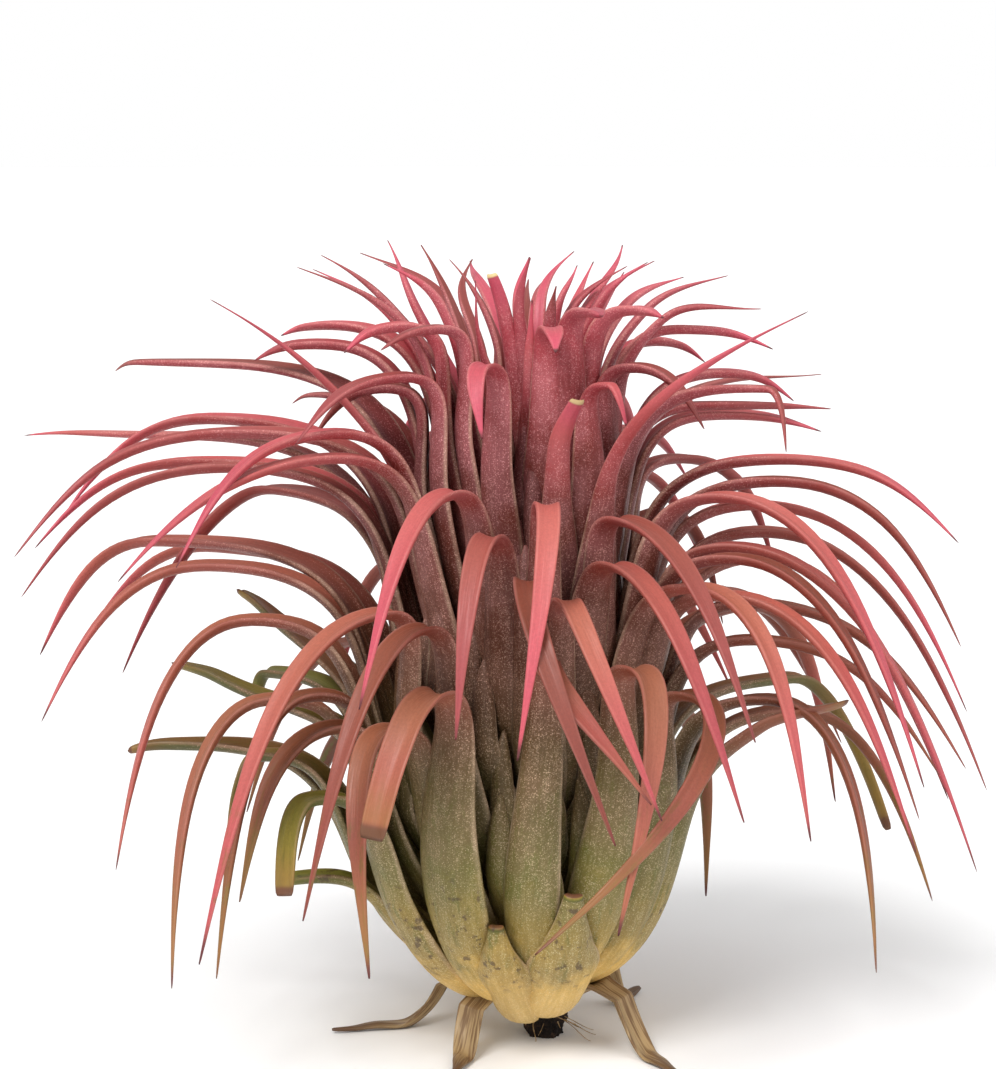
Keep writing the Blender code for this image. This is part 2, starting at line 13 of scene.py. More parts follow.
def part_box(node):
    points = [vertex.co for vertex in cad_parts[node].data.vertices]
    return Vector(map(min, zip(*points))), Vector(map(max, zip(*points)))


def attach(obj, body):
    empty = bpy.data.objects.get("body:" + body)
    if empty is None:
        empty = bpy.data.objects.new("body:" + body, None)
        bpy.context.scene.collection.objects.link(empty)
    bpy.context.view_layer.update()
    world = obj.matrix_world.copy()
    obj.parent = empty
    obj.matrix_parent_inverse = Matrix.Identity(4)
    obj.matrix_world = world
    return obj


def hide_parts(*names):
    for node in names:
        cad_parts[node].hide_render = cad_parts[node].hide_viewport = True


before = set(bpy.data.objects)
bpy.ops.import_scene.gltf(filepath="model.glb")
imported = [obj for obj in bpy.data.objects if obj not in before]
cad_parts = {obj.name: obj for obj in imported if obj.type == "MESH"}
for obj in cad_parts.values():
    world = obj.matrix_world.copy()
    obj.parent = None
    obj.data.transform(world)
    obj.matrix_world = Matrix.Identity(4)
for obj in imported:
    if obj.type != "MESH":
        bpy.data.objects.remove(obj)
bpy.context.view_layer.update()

bl_info = {
    "name": "Sky plant",
    "version": (1, 0, 0),
    "blender": (4, 5, 0),
    "location": "View3D > Sidebar > Sky plant",
    "description": "Grows the leaves, root stub and studio of a sky plant",
    "category": "Add Mesh",
}

MM = 0.001

# Stem, millimetres
STEM_FOOT = 5.3
STEM_TOP = 86.0
STEM_RADIUS_FOOT = 5.0
STEM_RADIUS_TOP = 2.8
NODE_GAP = 0.4

# Whorls: leaves grouped by where they leave the stem
WHORLS = 8
WHORL_PITCH = 8.7
BASAL_HEIGHT = 6.0
ROOT_SPREAD = 3.0
BACK_OF_BASAL = 4
BACK_PER_WHORL = (4, 4, 4, 4, 4, 3, 3, 3)

# Sheath curve: how far the leaf bases stand off the stem
SHEATH_START = 1.3
SHEATH_BULGE_FOOT = 24.0
SHEATH_BULGE_FALL = 0.255
SHEATH_LENGTH = 11.0
FULLER_SIDE = 190.0
FULLER_SHARE = 0.15
SHEATH_LEAN_FOOT = 0.12
SHEATH_LEAN_TOP = 0.14
SHOULDER_SHARE = 0.62

# Leaf section, millimetres
LEAF_WIDTH_FOOT = 11.5
LEAF_WIDTH_TOP = 7.6
MIDDLE_THICKNESS = 1.25
BLADE_THICKNESS = 0.95
EDGE_THICKNESS = 0.62
CLEARANCE = 0.22
WIDE_SHARE = 1.2
OLD_SHARE = 0.8
SCALE_SHARE = 0.84
SCALE_STAND = 2.4
SCALE_SWELL = 1.8

# Share of the full width at each station along a leaf
# 0 root, 1 shoulder, 2 crest, 3 tip
WIDTH_AT = ((0.0, 0.20), (0.2, 0.60), (0.5, 0.96), (0.75, 0.92), (1.0, 0.76), (1.5, 0.55),
            (2.0, 0.42), (2.4, 0.36), (2.7, 0.26), (3.0, 0.07))
OLD_WIDTH_AT = ((0.0, 0.20), (0.2, 0.60), (0.5, 0.90), (1.0, 0.80), (1.5, 0.68),
                (2.0, 0.56), (2.4, 0.46), (2.7, 0.32), (3.0, 0.07))
SCALE_WIDTH_AT = ((0.0, 0.45), (0.3, 0.80), (1.0, 1.0), (2.0, 0.82), (3.0, 0.44))

# Leaves read one by one: azimuth, crest reach, crest height, swing, tip reach, tip height, kind
# arch rises to the crest and falls; rise keeps rising; blunt ends in a cut; wide is broad;
# scale is the short swollen base of a leaf that was pulled off; green keeps its green blade
HEART = (
    (-154, 11, 125, 5, 12, 134, "rise"),
    (-136, 7, 125, 13, 10, 135, "blunt rise"),
    (-114, 7, 127, 1, 11, 138, "rise"),
    (113, 7, 126, -20, 15, 137, "rise"),
    (82, 6, 128, -17, 17, 138, "rise"),
    (0, 4, 129, 35, 9, 136, "rise"),
    (-59, 5, 127, -1, 7, 133, "rise"),
    (21, 6, 127, 1, 16, 136, "rise"),
    (23, 10, 129, 8, 24, 139, "rise"),
    (-20, 12, 130, 3, 20, 137, "rise"),
    (-96, 10, 118, 3, 13, 131, "rise"),
    (165, 8, 126, -6, 16, 137, "rise"),
    (55, 9, 124, 6, 22, 136, "rise"),
)
CROWN = (
    (163, 21, 127, -13, 30, 140, "rise"),
    (180, 24, 128, 0, 37, 138, "rise"),
    (161, 25, 125, 2, 41, 135, "rise"),
    (-167, 23, 126, -4, 41, 136, "rise"),
    (-154, 18, 130, -1, 28, 137, "rise"),
    (143, 17, 126, -14, 28, 139, "rise"),
    (133, 16, 125, -15, 31, 136, "rise"),
    (38, 20, 128, 3, 36, 133, "rise"),
    (16, 20, 128, -2, 35, 134, "rise"),
    (-10, 22, 127, 2, 39, 129, "rise"),
    (0, 25, 125, -7, 41, 122, "arch"),
    (30, 24, 122, -1, 35, 118, "arch"),
    (-36, 21, 129, 1, 26, 128, "arch"),
    (164, 37, 125, -1, 47, 123, "arch"),
    (172, 38, 122, -2, 50, 119, "arch"),
    (152, 43, 112, -1, 50, 110, "arch"),
    (-161, 25, 126, 1, 35, 122, "arch"),
    (-142, 22, 126, -2, 33, 123, "arch"),
    (-147, 27, 118, -1, 48, 108, "arch"),
    (-176, 26, 115, -1, 39, 105, "arch"),
    (-115, 20, 120, 7, 29, 109, "arch"),
    (-82, 18, 126, -1, 25, 123, "arch"),
    (-64, 20, 129, -3, 27, 129, "arch"),
    (-79, 20, 106, 7, 23, 115, "blunt rise"),
    (-55, 17, 117, 2, 25, 110, "arch"),
    (-55, 24, 106, 28, 52, 130, "wide rise"),
    (-34, 45, 117, -3, 50, 107, "wide arch"),
    (9, 33, 117, -1, 46, 112, "arch"),
    (-25, 19, 119, -2, 31, 109, "arch"),
    (15, 30, 111, 0, 55, 110, "arch"),
    (27, 33, 109, -5, 53, 106, "arch"),
    (33, 33, 111, -2, 68, 114, "rise"),
)
LEFT = (
    (163, 84, 104, 0, 101, 103, "arch"),
    (166, 60, 108, 8, 84, 91, "arch"),
    (-169, 53, 108, 5, 90, 89, "arch"),
    (180, 54, 101, 3, 89, 79, "arch"),
    (169, 60, 101, 8, 87, 87, "arch"),
    (-148, 41, 105, -8, 74, 85, "arch"),
    (-150, 40, 109, 1, 69, 89, "arch"),
    (152, 54, 94, 16, 74, 63, "arch"),
    (168, 70, 86, 5, 89, 66, "arch"),
    (175, 58, 83, 8, 86, 57, "arch"),
    (157, 65, 83, 6, 85, 70, "arch"),
    (158, 53, 73, 0, 58, 76, "green blunt rise"),
    (-172, 28, 107, -2, 56, 131, "rise"),
    (165, 72, 118, -2, 79, 116, "arch"),
    (165, 59, 61, -1, 68, 63, "green blunt rise"),
    (157, 52, 61, -1, 55, 56, "green blunt arch"),
)
FRONT = (
    (-174, 50, 75, 14, 75, 36, "arch"),
    (-162, 48, 63, 16, 72, 20, "arch"),
    (-139, 34, 79, 2, 74, 27, "arch"),
    (-150, 44, 65, 6, 65, 21, "arch"),
    (-121, 38, 78, -2, 68, 36, "arch"),
    (-116, 34, 100, -2, 60, 69, "arch"),
    (-124, 41, 61, 10, 58, 25, "arch"),
    (-104, 34, 93, 0, 54, 64, "arch"),
    (-87, 31, 98, -3, 54, 61, "arch"),
    (-93, 35, 86, 12, 58, 48, "arch"),
    (-82, 37, 83, 1, 56, 51, "arch"),
    (-60, 29, 95, 2, 64, 64, "arch"),
    (-66, 33, 88, 5, 66, 52, "arch"),
)
RIGHT = (
    (-7, 43, 103, -5, 73, 90, "arch"),
    (-16, 44, 100, -4, 75, 74, "arch"),
    (-6, 39, 95, -6, 75, 61, "arch"),
    (-29, 37, 98, 1, 72, 52, "arch"),
    (7, 40, 89, -11, 79, 45, "arch"),
    (-24, 37, 89, 5, 78, 35, "arch"),
    (-30, 40, 88, -1, 72, 47, "arch"),
    (-34, 40, 82, 3, 74, 43, "arch"),
    (20, 43, 83, -13, 75, 40, "arch"),
    (-45, 39, 84, -4, 66, 47, "arch"),
    (-14, 42, 62, -13, 66, 21, "arch"),
    (28, 54, 59, -9, 69, 31, "green blunt arch"),
    (36, 48, 72, 4, 77, 30, "arch"),
    (-12, 39, 72, -4, 71, 51, "arch"),
    (0, 37, 77, -8, 75, 50, "arch"),
    (46, 47, 74, -5, 80, 41, "arch"),
)
BASAL = (
    (-174, 48, 51, 7, 54, 31, "green blunt arch"),
    (-141, 48, 49, 4, 56, 35, "green blunt arch"),
    (-163, 41, 31, -2, 46, 30, "green blunt arch"),
    (176, 64, 51, 1, 72, 50, "green blunt arch"),
    (6, 47, 57, -10, 70, 25, "arch"),
    (-20, 41, 58, 12, 54, 60, "blunt rise"),
    (-118, 42, 68, -2, 59, 48, "blunt wide arch"),
    (-144, 42, 60, 5, 64, 35, "arch"),
    (-88, 38, 73, 27, 57, 54, "arch"),
    (-62, 36, 71, -16, 53, 32, "arch"),
    (-40, 34, 65, -49, 55, 30, "arch"),
    (-104, 24, 20, 0, 28, 27, "blunt scale rise"),
    (-78, 25, 24, 0, 30, 33, "blunt wide scale rise"),
)
# Old leaves that droop to the surface: azimuth, crest reach, crest height, swing, tip reach
DROOPING = (
    (-133, 15, 10, 14, 29),
    (-31, 17, 11, -16, 37),
    (42, 17, 11, 9, 32),
    (101, 17, 11, -12, 38),
    (167, 16, 10, 15, 36),
)
OLD_TIP_HEIGHT = 0.15

# Stations where a leaf gets a ring of points
ARCH_STATIONS = (0.0, 0.2, 0.6, 1.2, 1.75, 2.1, 2.5, 3.0)
BACK_STATIONS = (0.0, 0.3, 1.0, 1.8, 2.3, 3.0)
RISE_STATIONS = (0.0, 0.2, 0.55, 1.1, 2.0, 3.0)
OLD_STATIONS = (0.0, 0.5, 1.6, 2.2, 2.6, 3.0)
BLADE_FROM = 1.6

# Leaves at the back, and how far leaves may be bent aside, degrees
BACK_SEED = 1
OUTWARD_SHARE = 0.35
ROUNDS = 60
TURN_LIMIT = 9.0
BEND_LIMIT = 18.0
BLADE_STEP = 0.6
SHEATH_STEP = 1.2
GIVE_SEEN = 0.5
GIVE_BACK = 1.0


class Leaf:
    """One leaf: where it leaves the stem, its crest, its tip and how it may be bent aside."""

    def __init__(self, row, give):
        self.azimuth = row[0]
        self.crest = [float(row[1]), float(row[2])]
        self.swing = row[3]
        self.tip = [float(row[4]), float(row[5])]
        self.rising = "rise" in row[6]
        self.blunt = "blunt" in row[6]
        self.wide = "wide" in row[6]
        self.old = "old" in row[6]
        self.scale = "scale" in row[6]
        self.green = "green" in row[6]
        self.hidden = False
        self.give = give
        self.turn = self.bend = 0.0
        self.twist = self.lean = self.roll = 0.0
        self.girth = self.draw_in = 1.0
        self.whorl = 0
        self.root = 0.0

    def stations(self):
        """Return the ring stations this leaf needs."""
        if self.old:
            return OLD_STATIONS
        if self.rising:
            return RISE_STATIONS
        return BACK_STATIONS if self.give == GIVE_BACK else ARCH_STATIONS

    def push(self, station, degrees):
        """Move the leaf sideways where it is touched and return how far it went."""
        turn, bend = self.turn, self.bend
        if station > 2.2:
            self.bend = min(max(bend + 2.0 * degrees * self.give, -BEND_LIMIT), BEND_LIMIT)
        else:
            self.turn = min(max(turn + degrees * self.give, -TURN_LIMIT), TURN_LIMIT)
        return abs(self.turn - turn) + abs(self.bend - bend)

    def width(self, station):
        """Return the leaf width at a station."""
        full = LEAF_WIDTH_FOOT + (LEAF_WIDTH_TOP - LEAF_WIDTH_FOOT) * self.root / STEM_TOP
        if self.wide:
            full *= WIDE_SHARE
        if self.scale:
            return full * SCALE_SHARE * table_value(SCALE_WIDTH_AT, station)
        if self.old:
            return full * OLD_SHARE * table_value(OLD_WIDTH_AT, station)
        value = full * table_value(WIDTH_AT, station)
        if self.blunt and station > 2.0:
            value = max(value, full * (0.42 - 0.12 * (station - 2.0)))
        return max(value, 0.7)


def table_value(table, at):
    """Return the straight-line value of a table of pairs."""
    for (a, va), (b, vb) in zip(table, table[1:]):
        if at <= b:
            return va + (vb - va) * (at - a) / (b - a)
    return table[-1][1]


def stem_radius(z):
    """Return the stem radius at a height."""
    share = min(max((z - STEM_FOOT) / (STEM_TOP - STEM_FOOT), 0.0), 1.0)
    return STEM_RADIUS_FOOT + (STEM_RADIUS_TOP - STEM_RADIUS_FOOT) * share


def sheath_reach(z, leaf):
    """Return how far from the axis a leaf base stands at a height."""
    up = z - leaf.root
    bulge = SHEATH_BULGE_FOOT - SHEATH_BULGE_FALL * leaf.root
    lean = SHEATH_LEAN_FOOT + (SHEATH_LEAN_TOP - SHEATH_LEAN_FOOT) * leaf.root / STEM_TOP
    side = 1.0 + FULLER_SHARE * math.cos(math.radians(leaf.azimuth + leaf.turn - FULLER_SIDE))
    off = (bulge * (1.0 - math.exp(-up / SHEATH_LENGTH)) + lean * up) * side
    if leaf.scale:
        off += SCALE_STAND * (1.0 - math.exp(-up / 4.0))
    return stem_radius(leaf.root) + SHEATH_START + off * leaf.draw_in


def bezier(a, b, c, d, t):
    """Return a point of a cubic curve in the plane."""
    k = 1.0 - t
    u, v, w, x = k * k * k, 3 * k * k * t, 3 * k * t * t, t * t * t
    return (u * a[0] + v * b[0] + w * c[0] + x * d[0], u * a[1] + v * b[1] + w * c[1] + x * d[1])


def unit(x, y):
    """Return a plane vector of length one."""
    length = math.hypot(x, y)
    return (x / length, y / length)


def plane_point(leaf, station):
    """Return reach and height of the centre line at a station."""
    shoulder_z = leaf.root + SHOULDER_SHARE * (leaf.crest[1] - leaf.root)
    if station <= 1.0:
        z = leaf.root + station * (shoulder_z - leaf.root)
        return (sheath_reach(z, leaf), z)
    shoulder = (sheath_reach(shoulder_z, leaf), shoulder_z)
    below = sheath_reach(shoulder_z - 0.5, leaf)
    leave = unit(shoulder[0] - below, 0.5)
    crest = leaf.crest
    tip = leaf.tip
    if leaf.rising:
        over = unit(tip[0] - shoulder[0], tip[1] - shoulder[1])
    else:
        over = (1.0, 0.0)
    if station <= 2.0:
        size = 0.42 * math.hypot(crest[0] - shoulder[0], crest[1] - shoulder[1])
        if not leaf.rising:
            size *= 1.15
        b = (shoulder[0] + leave[0] * size, shoulder[1] + leave[1] * size)
        c = (crest[0] - over[0] * size, crest[1] - over[1] * size)
        return bezier(shoulder, b, c, crest, station - 1.0)
    across = tip[0] - crest[0]
    drop = tip[1] - crest[1]
    if leaf.old:
        b = (crest[0] + across * 0.15, crest[1] * 0.40)
        c = (tip[0] - across * 0.60, tip[1])
        return bezier(crest, b, c, tip, station - 2.0)
    size = math.hypot(across, drop)
    if leaf.rising:
        end = unit(across * 1.25, drop * 0.8)
        b = (crest[0] + over[0] * size * 0.35, crest[1] + over[1] * size * 0.35)
    else:
        end = unit(across * 0.55, drop * 1.25 - 0.2)
        b = (crest[0] + max(across * 0.55, 0.22 * size), crest[1])
    c = (tip[0] - end[0] * size * 0.36, tip[1] - end[1] * size * 0.36)
    return bezier(crest, b, c, tip, station - 2.0)


def turn_share(station):
    """Return how much of its swing a leaf has taken at a station."""
    q = max(station - 2.0, 0.0)
    return q * q * (2.0 - q)


def space_point(leaf, station):
    """Return the centre line point of a leaf in space."""
    reach, z = plane_point(leaf, station)
    angle = math.radians(leaf.azimuth + leaf.turn + (leaf.swing + leaf.bend) * turn_share(station))
    return Vector((reach * math.cos(angle), reach * math.sin(angle), z))


def ring(leaf, station, spare):
    """Return the six section points of a leaf at a station, grown by a spare width."""
    here = space_point(leaf, station)
    ahead = space_point(leaf, min(station + 0.02, 3.0))
    behind = space_point(leaf, max(station - 0.02, 0.0))
    along = (ahead - behind).normalized()
    side = Vector((-here.y, here.x, 0.0)).normalized()
    side = (side - along * side.dot(along)).normalized()
    inward = along.cross(side)
    half = leaf.width(station) / 2.0 + spare
    reach = math.hypot(here.x, here.y)
    blade = min(max(station - 1.0, 0.0), 1.0)
    bow = max(reach * 0.9, half) * (1.0 - blade) + max(half * 1.7, 2.0) * blade
    angle = half / bow
    middle = MIDDLE_THICKNESS + (BLADE_THICKNESS - MIDDLE_THICKNESS) * min(station / 2.0, 1.0)
    if station > 2.0:
        middle += (EDGE_THICKNESS - BLADE_THICKNESS) * (station - 2.0)
    if leaf.scale:
        middle *= SCALE_SWELL
    points = []
    for place, thick in ((-1, EDGE_THICKNESS), (0, middle), (1, EDGE_THICKNESS)):
        a = angle * place
        out = side * math.sin(a) - inward * math.cos(a)
        mid = here + side * (bow * math.sin(a)) + inward * (bow * (1.0 - math.cos(a)))
        points.append((mid + out * (thick / 2.0 + spare), mid - out * (thick / 2.0 + spare)))
    outer = [p[0] for p in points]
    inner = [p[1] for p in points]
    return outer + inner[::-1]


def leaf_shape(leaf, spare=0.0, first=0.0):
    """Return vertices and faces of a leaf, and the station of each face."""
    stations = [s for s in leaf.stations() if s >= first]
    verts = []
    for station in stations:
        verts.extend(ring(leaf, station, spare))
    if leaf.old:
        verts = [Vector((v.x, v.y, max(v.z, 0.0))) for v in verts]
    faces = []
    marks = []
    for k in range(len(stations) - 1):
        for n in range(6):
            a = 6 * k + n
            b = 6 * k + (n + 1) % 6
            faces.append((a, b, b + 6, a + 6))
            marks.append(0.5 * (stations[k] + stations[k + 1]))
    last = 6 * (len(stations) - 1)
    faces.append((5, 4, 1, 0))
    faces.append((4, 3, 2, 1))
    faces.append((last, last + 1, last + 4, last + 5))
    faces.append((last + 1, last + 2, last + 3, last + 4))
    marks.extend((stations[0], stations[0], 3.0, 3.0))
    return verts, faces, marks


def whorl_foot(whorl):
    """Return the height where the collar of a whorl starts."""
    if whorl > WHORLS:
        return STEM_TOP + NODE_GAP
    return BASAL_HEIGHT + WHORL_PITCH * whorl


def place_whorl(leaves, whorl):
    """Set the root height of the leaves of a whorl, lowest crest first."""
    foot = whorl_foot(whorl) + 1.0
    ordered = sorted(leaves, key=lambda leaf: leaf.crest[1])
    for rank, leaf in enumerate(ordered):
        leaf.whorl = whorl
        leaf.root = foot + ROOT_SPREAD * rank / max(len(ordered) - 1, 1)
        room = sheath_reach(leaf.crest[1], leaf)
        start = stem_radius(leaf.root) + SHEATH_START
        if leaf.crest[0] < room + 1.5 and whorl > WHORLS:
            leaf.draw_in = max((leaf.crest[0] - 1.5 - start) / (room - start), 0.02)
        elif leaf.crest[0] < room + 2.0 and not leaf.rising:
            leaf.crest[0] = room + 2.0
        elif leaf.crest[0] < room:
            leaf.crest[0] = room


def widest_gap(angles, low, high):
    """Return the middle of the widest free arc between two azimuths."""
    marks = sorted([low] + [a for a in angles if low < a < high] + [high])
    spans = [(b - a, a) for a, b in zip(marks, marks[1:])]
    size, start = max(spans)
    return start + size / 2.0


def back_leaves(group, count, draw):
    """Return leaves for the side away from the front, in the widest gaps of a whorl."""
    angles = [leaf.azimuth for leaf in group]
    height = sum(leaf.crest[1] for leaf in group) / len(group)
    level = (height - 60.0) / 66.0
    extra = []
    for _ in range(count):
        azimuth = widest_gap(angles, 18.0, 162.0) + draw.uniform(-4.0, 4.0)
        angles.append(azimuth)
        reach = 41.0 - 20.0 * level + draw.uniform(-4.0, 4.0)
        crest = height + draw.uniform(-4.0, 4.0)
        drop = 38.0 - 32.0 * level + draw.uniform(-7.0, 7.0)
        tip_reach = 74.0 - 32.0 * level + draw.uniform(-6.0, 6.0)
        kind = "arch"
        if level > 0.9:
            kind = "rise"
            drop = -9.0 + draw.uniform(-2.0, 2.0)
        row = (azimuth, reach, crest, draw.uniform(-8.0, 8.0), tip_reach, crest - drop, kind)
        extra.append(Leaf(row, GIVE_BACK))
    return extra


def grow_leaves():
    """Return the leaves of each whorl, lowest first."""
    draw = random.Random(BACK_SEED)
    basal = [Leaf(row, GIVE_SEEN) for row in BASAL]
    basal.extend(back_leaves(basal, BACK_OF_BASAL, draw))
    for azimuth, reach, height, swing, tip_reach in DROOPING:
        shape = (azimuth, reach, height, swing, tip_reach, OLD_TIP_HEIGHT, "old arch")
        basal.append(Leaf(shape, GIVE_SEEN))
    place_whorl(basal, 0)
    whorls = [basal]
    seen = [Leaf(row, GIVE_SEEN) for row in CROWN + LEFT + FRONT + RIGHT]
    seen.sort(key=lambda leaf: leaf.crest[1] - OUTWARD_SHARE * leaf.crest[0])
    for whorl in range(WHORLS):
        first = len(seen) * whorl // WHORLS
        last = len(seen) * (whorl + 1) // WHORLS
        group = seen[first:last]
        group.extend(back_leaves(group, BACK_PER_WHORL[whorl], draw))
        place_whorl(group, whorl + 1)
        whorls.append(group)
    heart = [Leaf(row, GIVE_SEEN) for row in HEART]
    place_whorl(heart, WHORLS + 1)
    whorls.append(heart)
    return whorls


def touching(leaves, spare):
    """Return pairs of leaves that come too close, with where on each leaf."""
    full = []
    blades = []
    for leaf in leaves:
        verts, faces, marks = leaf_shape(leaf, spare)
        low = [min(v[k] for v in verts) for k in range(3)]
        high = [max(v[k] for v in verts) for k in range(3)]
        full.append((BVHTree.FromPolygons(verts, faces), marks, verts, faces, low, high))
        verts, faces, marks = leaf_shape(leaf, spare, BLADE_FROM)
        blades.append((BVHTree.FromPolygons(verts, faces), marks, verts, faces, low, high))
    hits = []
    for i in range(len(leaves)):
        for j in range(i + 1, len(leaves)):
            same = leaves[i].whorl == leaves[j].whorl
            a, b = (blades[i], blades[j]) if same else (full[i], full[j])
            if any(a[4][k] > b[5][k] or b[4][k] > a[5][k] for k in range(3)):
                continue
            pairs = a[0].overlap(b[0])
            if pairs:
                place_a = hit_place(a, [p[0] for p in pairs])
                place_b = hit_place(b, [p[1] for p in pairs])
                hits.append((i, j, same, place_a, place_b))
    return hits


def hit_place(shape, indices):
    """Return the mean station and azimuth of some faces of a leaf."""
    _, marks, verts, faces, _, _ = shape
    station = sum(marks[k] for k in indices) / len(indices)
    middle = Vector((0.0, 0.0, 0.0))
    for k in indices:
        for corner in faces[k]:
            middle += verts[corner]
    return station, math.degrees(math.atan2(middle.y, middle.x))


def bend_clear(leaves):
    """Turn and bend leaves sideways until those of different whorls pass each other freely."""
    ways = {}
    for turn in range(ROUNDS):
        hits = touching(leaves, CLEARANCE)
        if not any(not hit[2] for hit in hits):
            break
        for i, j, same, (at_i, az_i), (at_j, az_j) in hits:
            if same and turn > ROUNDS // 2:
                continue
            side = (az_i - az_j + 180.0) % 360.0 - 180.0
            first = 1.0 if side > 0.0 or (side == 0.0 and i > j) else -1.0
            way = ways.setdefault((i, j), first)
            moved = 0.0
            for leaf, at, sign in ((leaves[i], at_i, way), (leaves[j], at_j, -way)):
                moved += leaf.push(at, (BLADE_STEP if same else SHEATH_STEP) * sign)
            if moved < 0.1:
                ways[(i, j)] = -way


# Dressed leaves, millimetres and stations
ALONG_STEPS = 26
ACROSS_STEPS = 6
THICKEST = 4.0
THINNEST = 0.2
STATION_SAMPLES = 120
LEAF_SEED = 40
BEND_WEIGHT = 14.0
SHEATH_SPACING = 17.0
LEVEL_SHARE = 0.82
LEAN_FADE = (0.2, 1.6)
TWIST_RISE = (1.7, 2.9)
ROLL_RISE = (0.0, 0.25)
ROLL_FALL = (1.4, 2.1)
OLD_THICKNESS = 0.9
SCALE_FLESH = 1.4
FOOT_FLESH = 1.8
WRINKLE_DEPTH = 0.22
WRINKLE_LENGTH = 9.0
WAVE_LENGTH = 5.0
OLD_DROP = 2.6
OLD_LOWEST = 0.4
FRONT_SINK = 2.6
FRONT_AZIMUTH = -112.0
GIRTHS = (0.92, 1.10)
STAND_SPREAD = 0.7

# Fleshy rings round the stem, millimetres
RING_LIFT = 2.8
RING_SPARE = 1.2
RING_RADIUS = 1.9
HEART_REACH = 2.0

# Leaf values that the materials read
FULL_CREST = 130.0
GREEN_CREST = 0.22
RING_CREST = 0.1
UV_SHARE = 10.0


def srgb(red, green, blue):
    """Return a linear colour from display values of 0 to 255."""
    values = (red, green, blue)
    return tuple(((v / 255.0 + 0.055) / 1.055) ** 2.4 if v > 10 else v / 3294.6 for v in values)


def smooth_step(low, high, value):
    """Return 0 below low, 1 above high and a smooth rise between them."""
    t = min(max((value - low) / (high - low), 0.0), 1.0)
    return t * t * (3.0 - 2.0 * t)


def deselect():
    """Leave nothing selected."""
    for item in bpy.context.selected_objects:
        item.select_set(False)


def even_stations(leaf, count):
    """Return stations along a leaf, closer together where it bends."""
    samples = [3.0 * k / STATION_SAMPLES for k in range(STATION_SAMPLES + 1)]
    points = [space_point(leaf, s) for s in samples]
    sums = [0.0, 0.0]
    for k in range(1, STATION_SAMPLES):
        a = points[k] - points[k - 1]
        b = points[k + 1] - points[k]
        sums.append(sums[-1] + b.length + BEND_WEIGHT * a.angle(b, 0.0))
    sums[1] = sums[2] * 0.5
    return [float(np.interp(sums[-1] * k / count, sums, samples)) for k in range(count + 1)]


def leaning_point(leaf, station):
    """Return the centre line point of a dressed leaf, whose base leans to one side."""
    lean = leaf.lean * (1.0 - smooth_step(*LEAN_FADE, station))
    return Matrix.Rotation(math.radians(lean), 3, "Z") @ space_point(leaf, station)


def blade_frame(leaf, station):
    """Return the centre, the directions, the half width and the bow of a leaf section."""
    here = leaning_point(leaf, station)
    ahead = leaning_point(leaf, min(station + 0.02, 3.0))
    behind = leaning_point(leaf, max(station - 0.02, 0.0))
    along = (ahead - behind).normalized()
    side = Vector((-here.y, here.x, 0.0)).normalized()
    side = (side - along * side.dot(along)).normalized()
    twist = leaf.twist * smooth_step(*TWIST_RISE, station)
    roll = leaf.roll * smooth_step(*ROLL_RISE, station) * (1.0 - smooth_step(*ROLL_FALL, station))
    side = Matrix.Rotation(math.radians(twist - roll), 3, along) @ side
    inward = along.cross(side)
    half = dressed_width(leaf, station) / 2.0
    reach = math.hypot(here.x, here.y)
    low = smooth_step(0.0, 0.14, station)
    high = smooth_step(1.9, 3.0, station)
    channel = half * (1.28 - 0.30 * smooth_step(1.0, 1.9, station))
    bow = max(reach * 0.8, half * 1.1) * (1.0 - low) + channel * low
    bow = bow * (1.0 - high) + half * 1.2 * high
    return here, side, inward, half, max(bow, THINNEST)


def dressed_width(leaf, station):
    """Return the width of a dressed leaf, which ends in a needle unless it is cut."""
    width = leaf.width(station) * leaf.girth * (leaf.full + 0.06 * smooth_step(1.6, 2.2, station))
    if leaf.scale:
        return width * (1.08 - 0.50 * smooth_step(1.2, 3.0, station))
    if leaf.blunt:
        return width
    if leaf.old:
        rise = 0.2 * smooth_step(1.3, 2.0, station)
        return width * (1.0 + rise * (1.0 - smooth_step(2.2, 3.0, station)))
    if leaf.hidden:
        return width * (1.0 - 0.3 * smooth_step(2.0, 3.0, station))
    if leaf.crest[0] > LEVEL_SHARE * leaf.tip[0]:
        width *= 1.0 - 0.6 * smooth_step(1.2, 2.2, station)
    if leaf.rising:
        width *= 1.0 - 0.30 * smooth_step(1.0, 2.0, station) - 0.25 * smooth_step(1.9, 2.8, station)
    else:
        width *= 1.0 + 0.08 * smooth_step(1.0, 1.6, station) - 0.16 * smooth_step(1.9, 2.8, station)
    return max(width * (1.0 - 0.55 * smooth_step(2.4, 3.0, station)), 0.3)


def section_thickness(leaf, station, across):
    """Return the flesh thickness at a station and a place across from -1 to 1."""
    middle = leaf.flesh - 0.35 * smooth_step(0.6, 2.0, station) - 0.45 * smooth_step(2.2, 3.0, station)
    if leaf.scale:
        middle += SCALE_FLESH
    if leaf.old:
        middle = OLD_THICKNESS
    elif leaf.whorl < 2:
        middle += FOOT_FLESH * (1.0 - smooth_step(0.15, 0.8, station))
    edge = leaf.margin * (2.0 - smooth_step(1.2, 2.3, station))
    thick = edge + (middle - edge) * (1.0 - abs(across) ** 2.2)
    return min(thick, max(dressed_width(leaf, station) * 0.55, THINNEST))


def colour_station(leaf, station):
    """Return where along a leaf its colours are read, from 0 at the root to 1 at the tip."""
    if leaf.hidden:
        return station * 0.16
    if leaf.scale:
        return station * 0.15 + 0.54 * smooth_step(2.86, 3.0, station)
    return station / 3.0


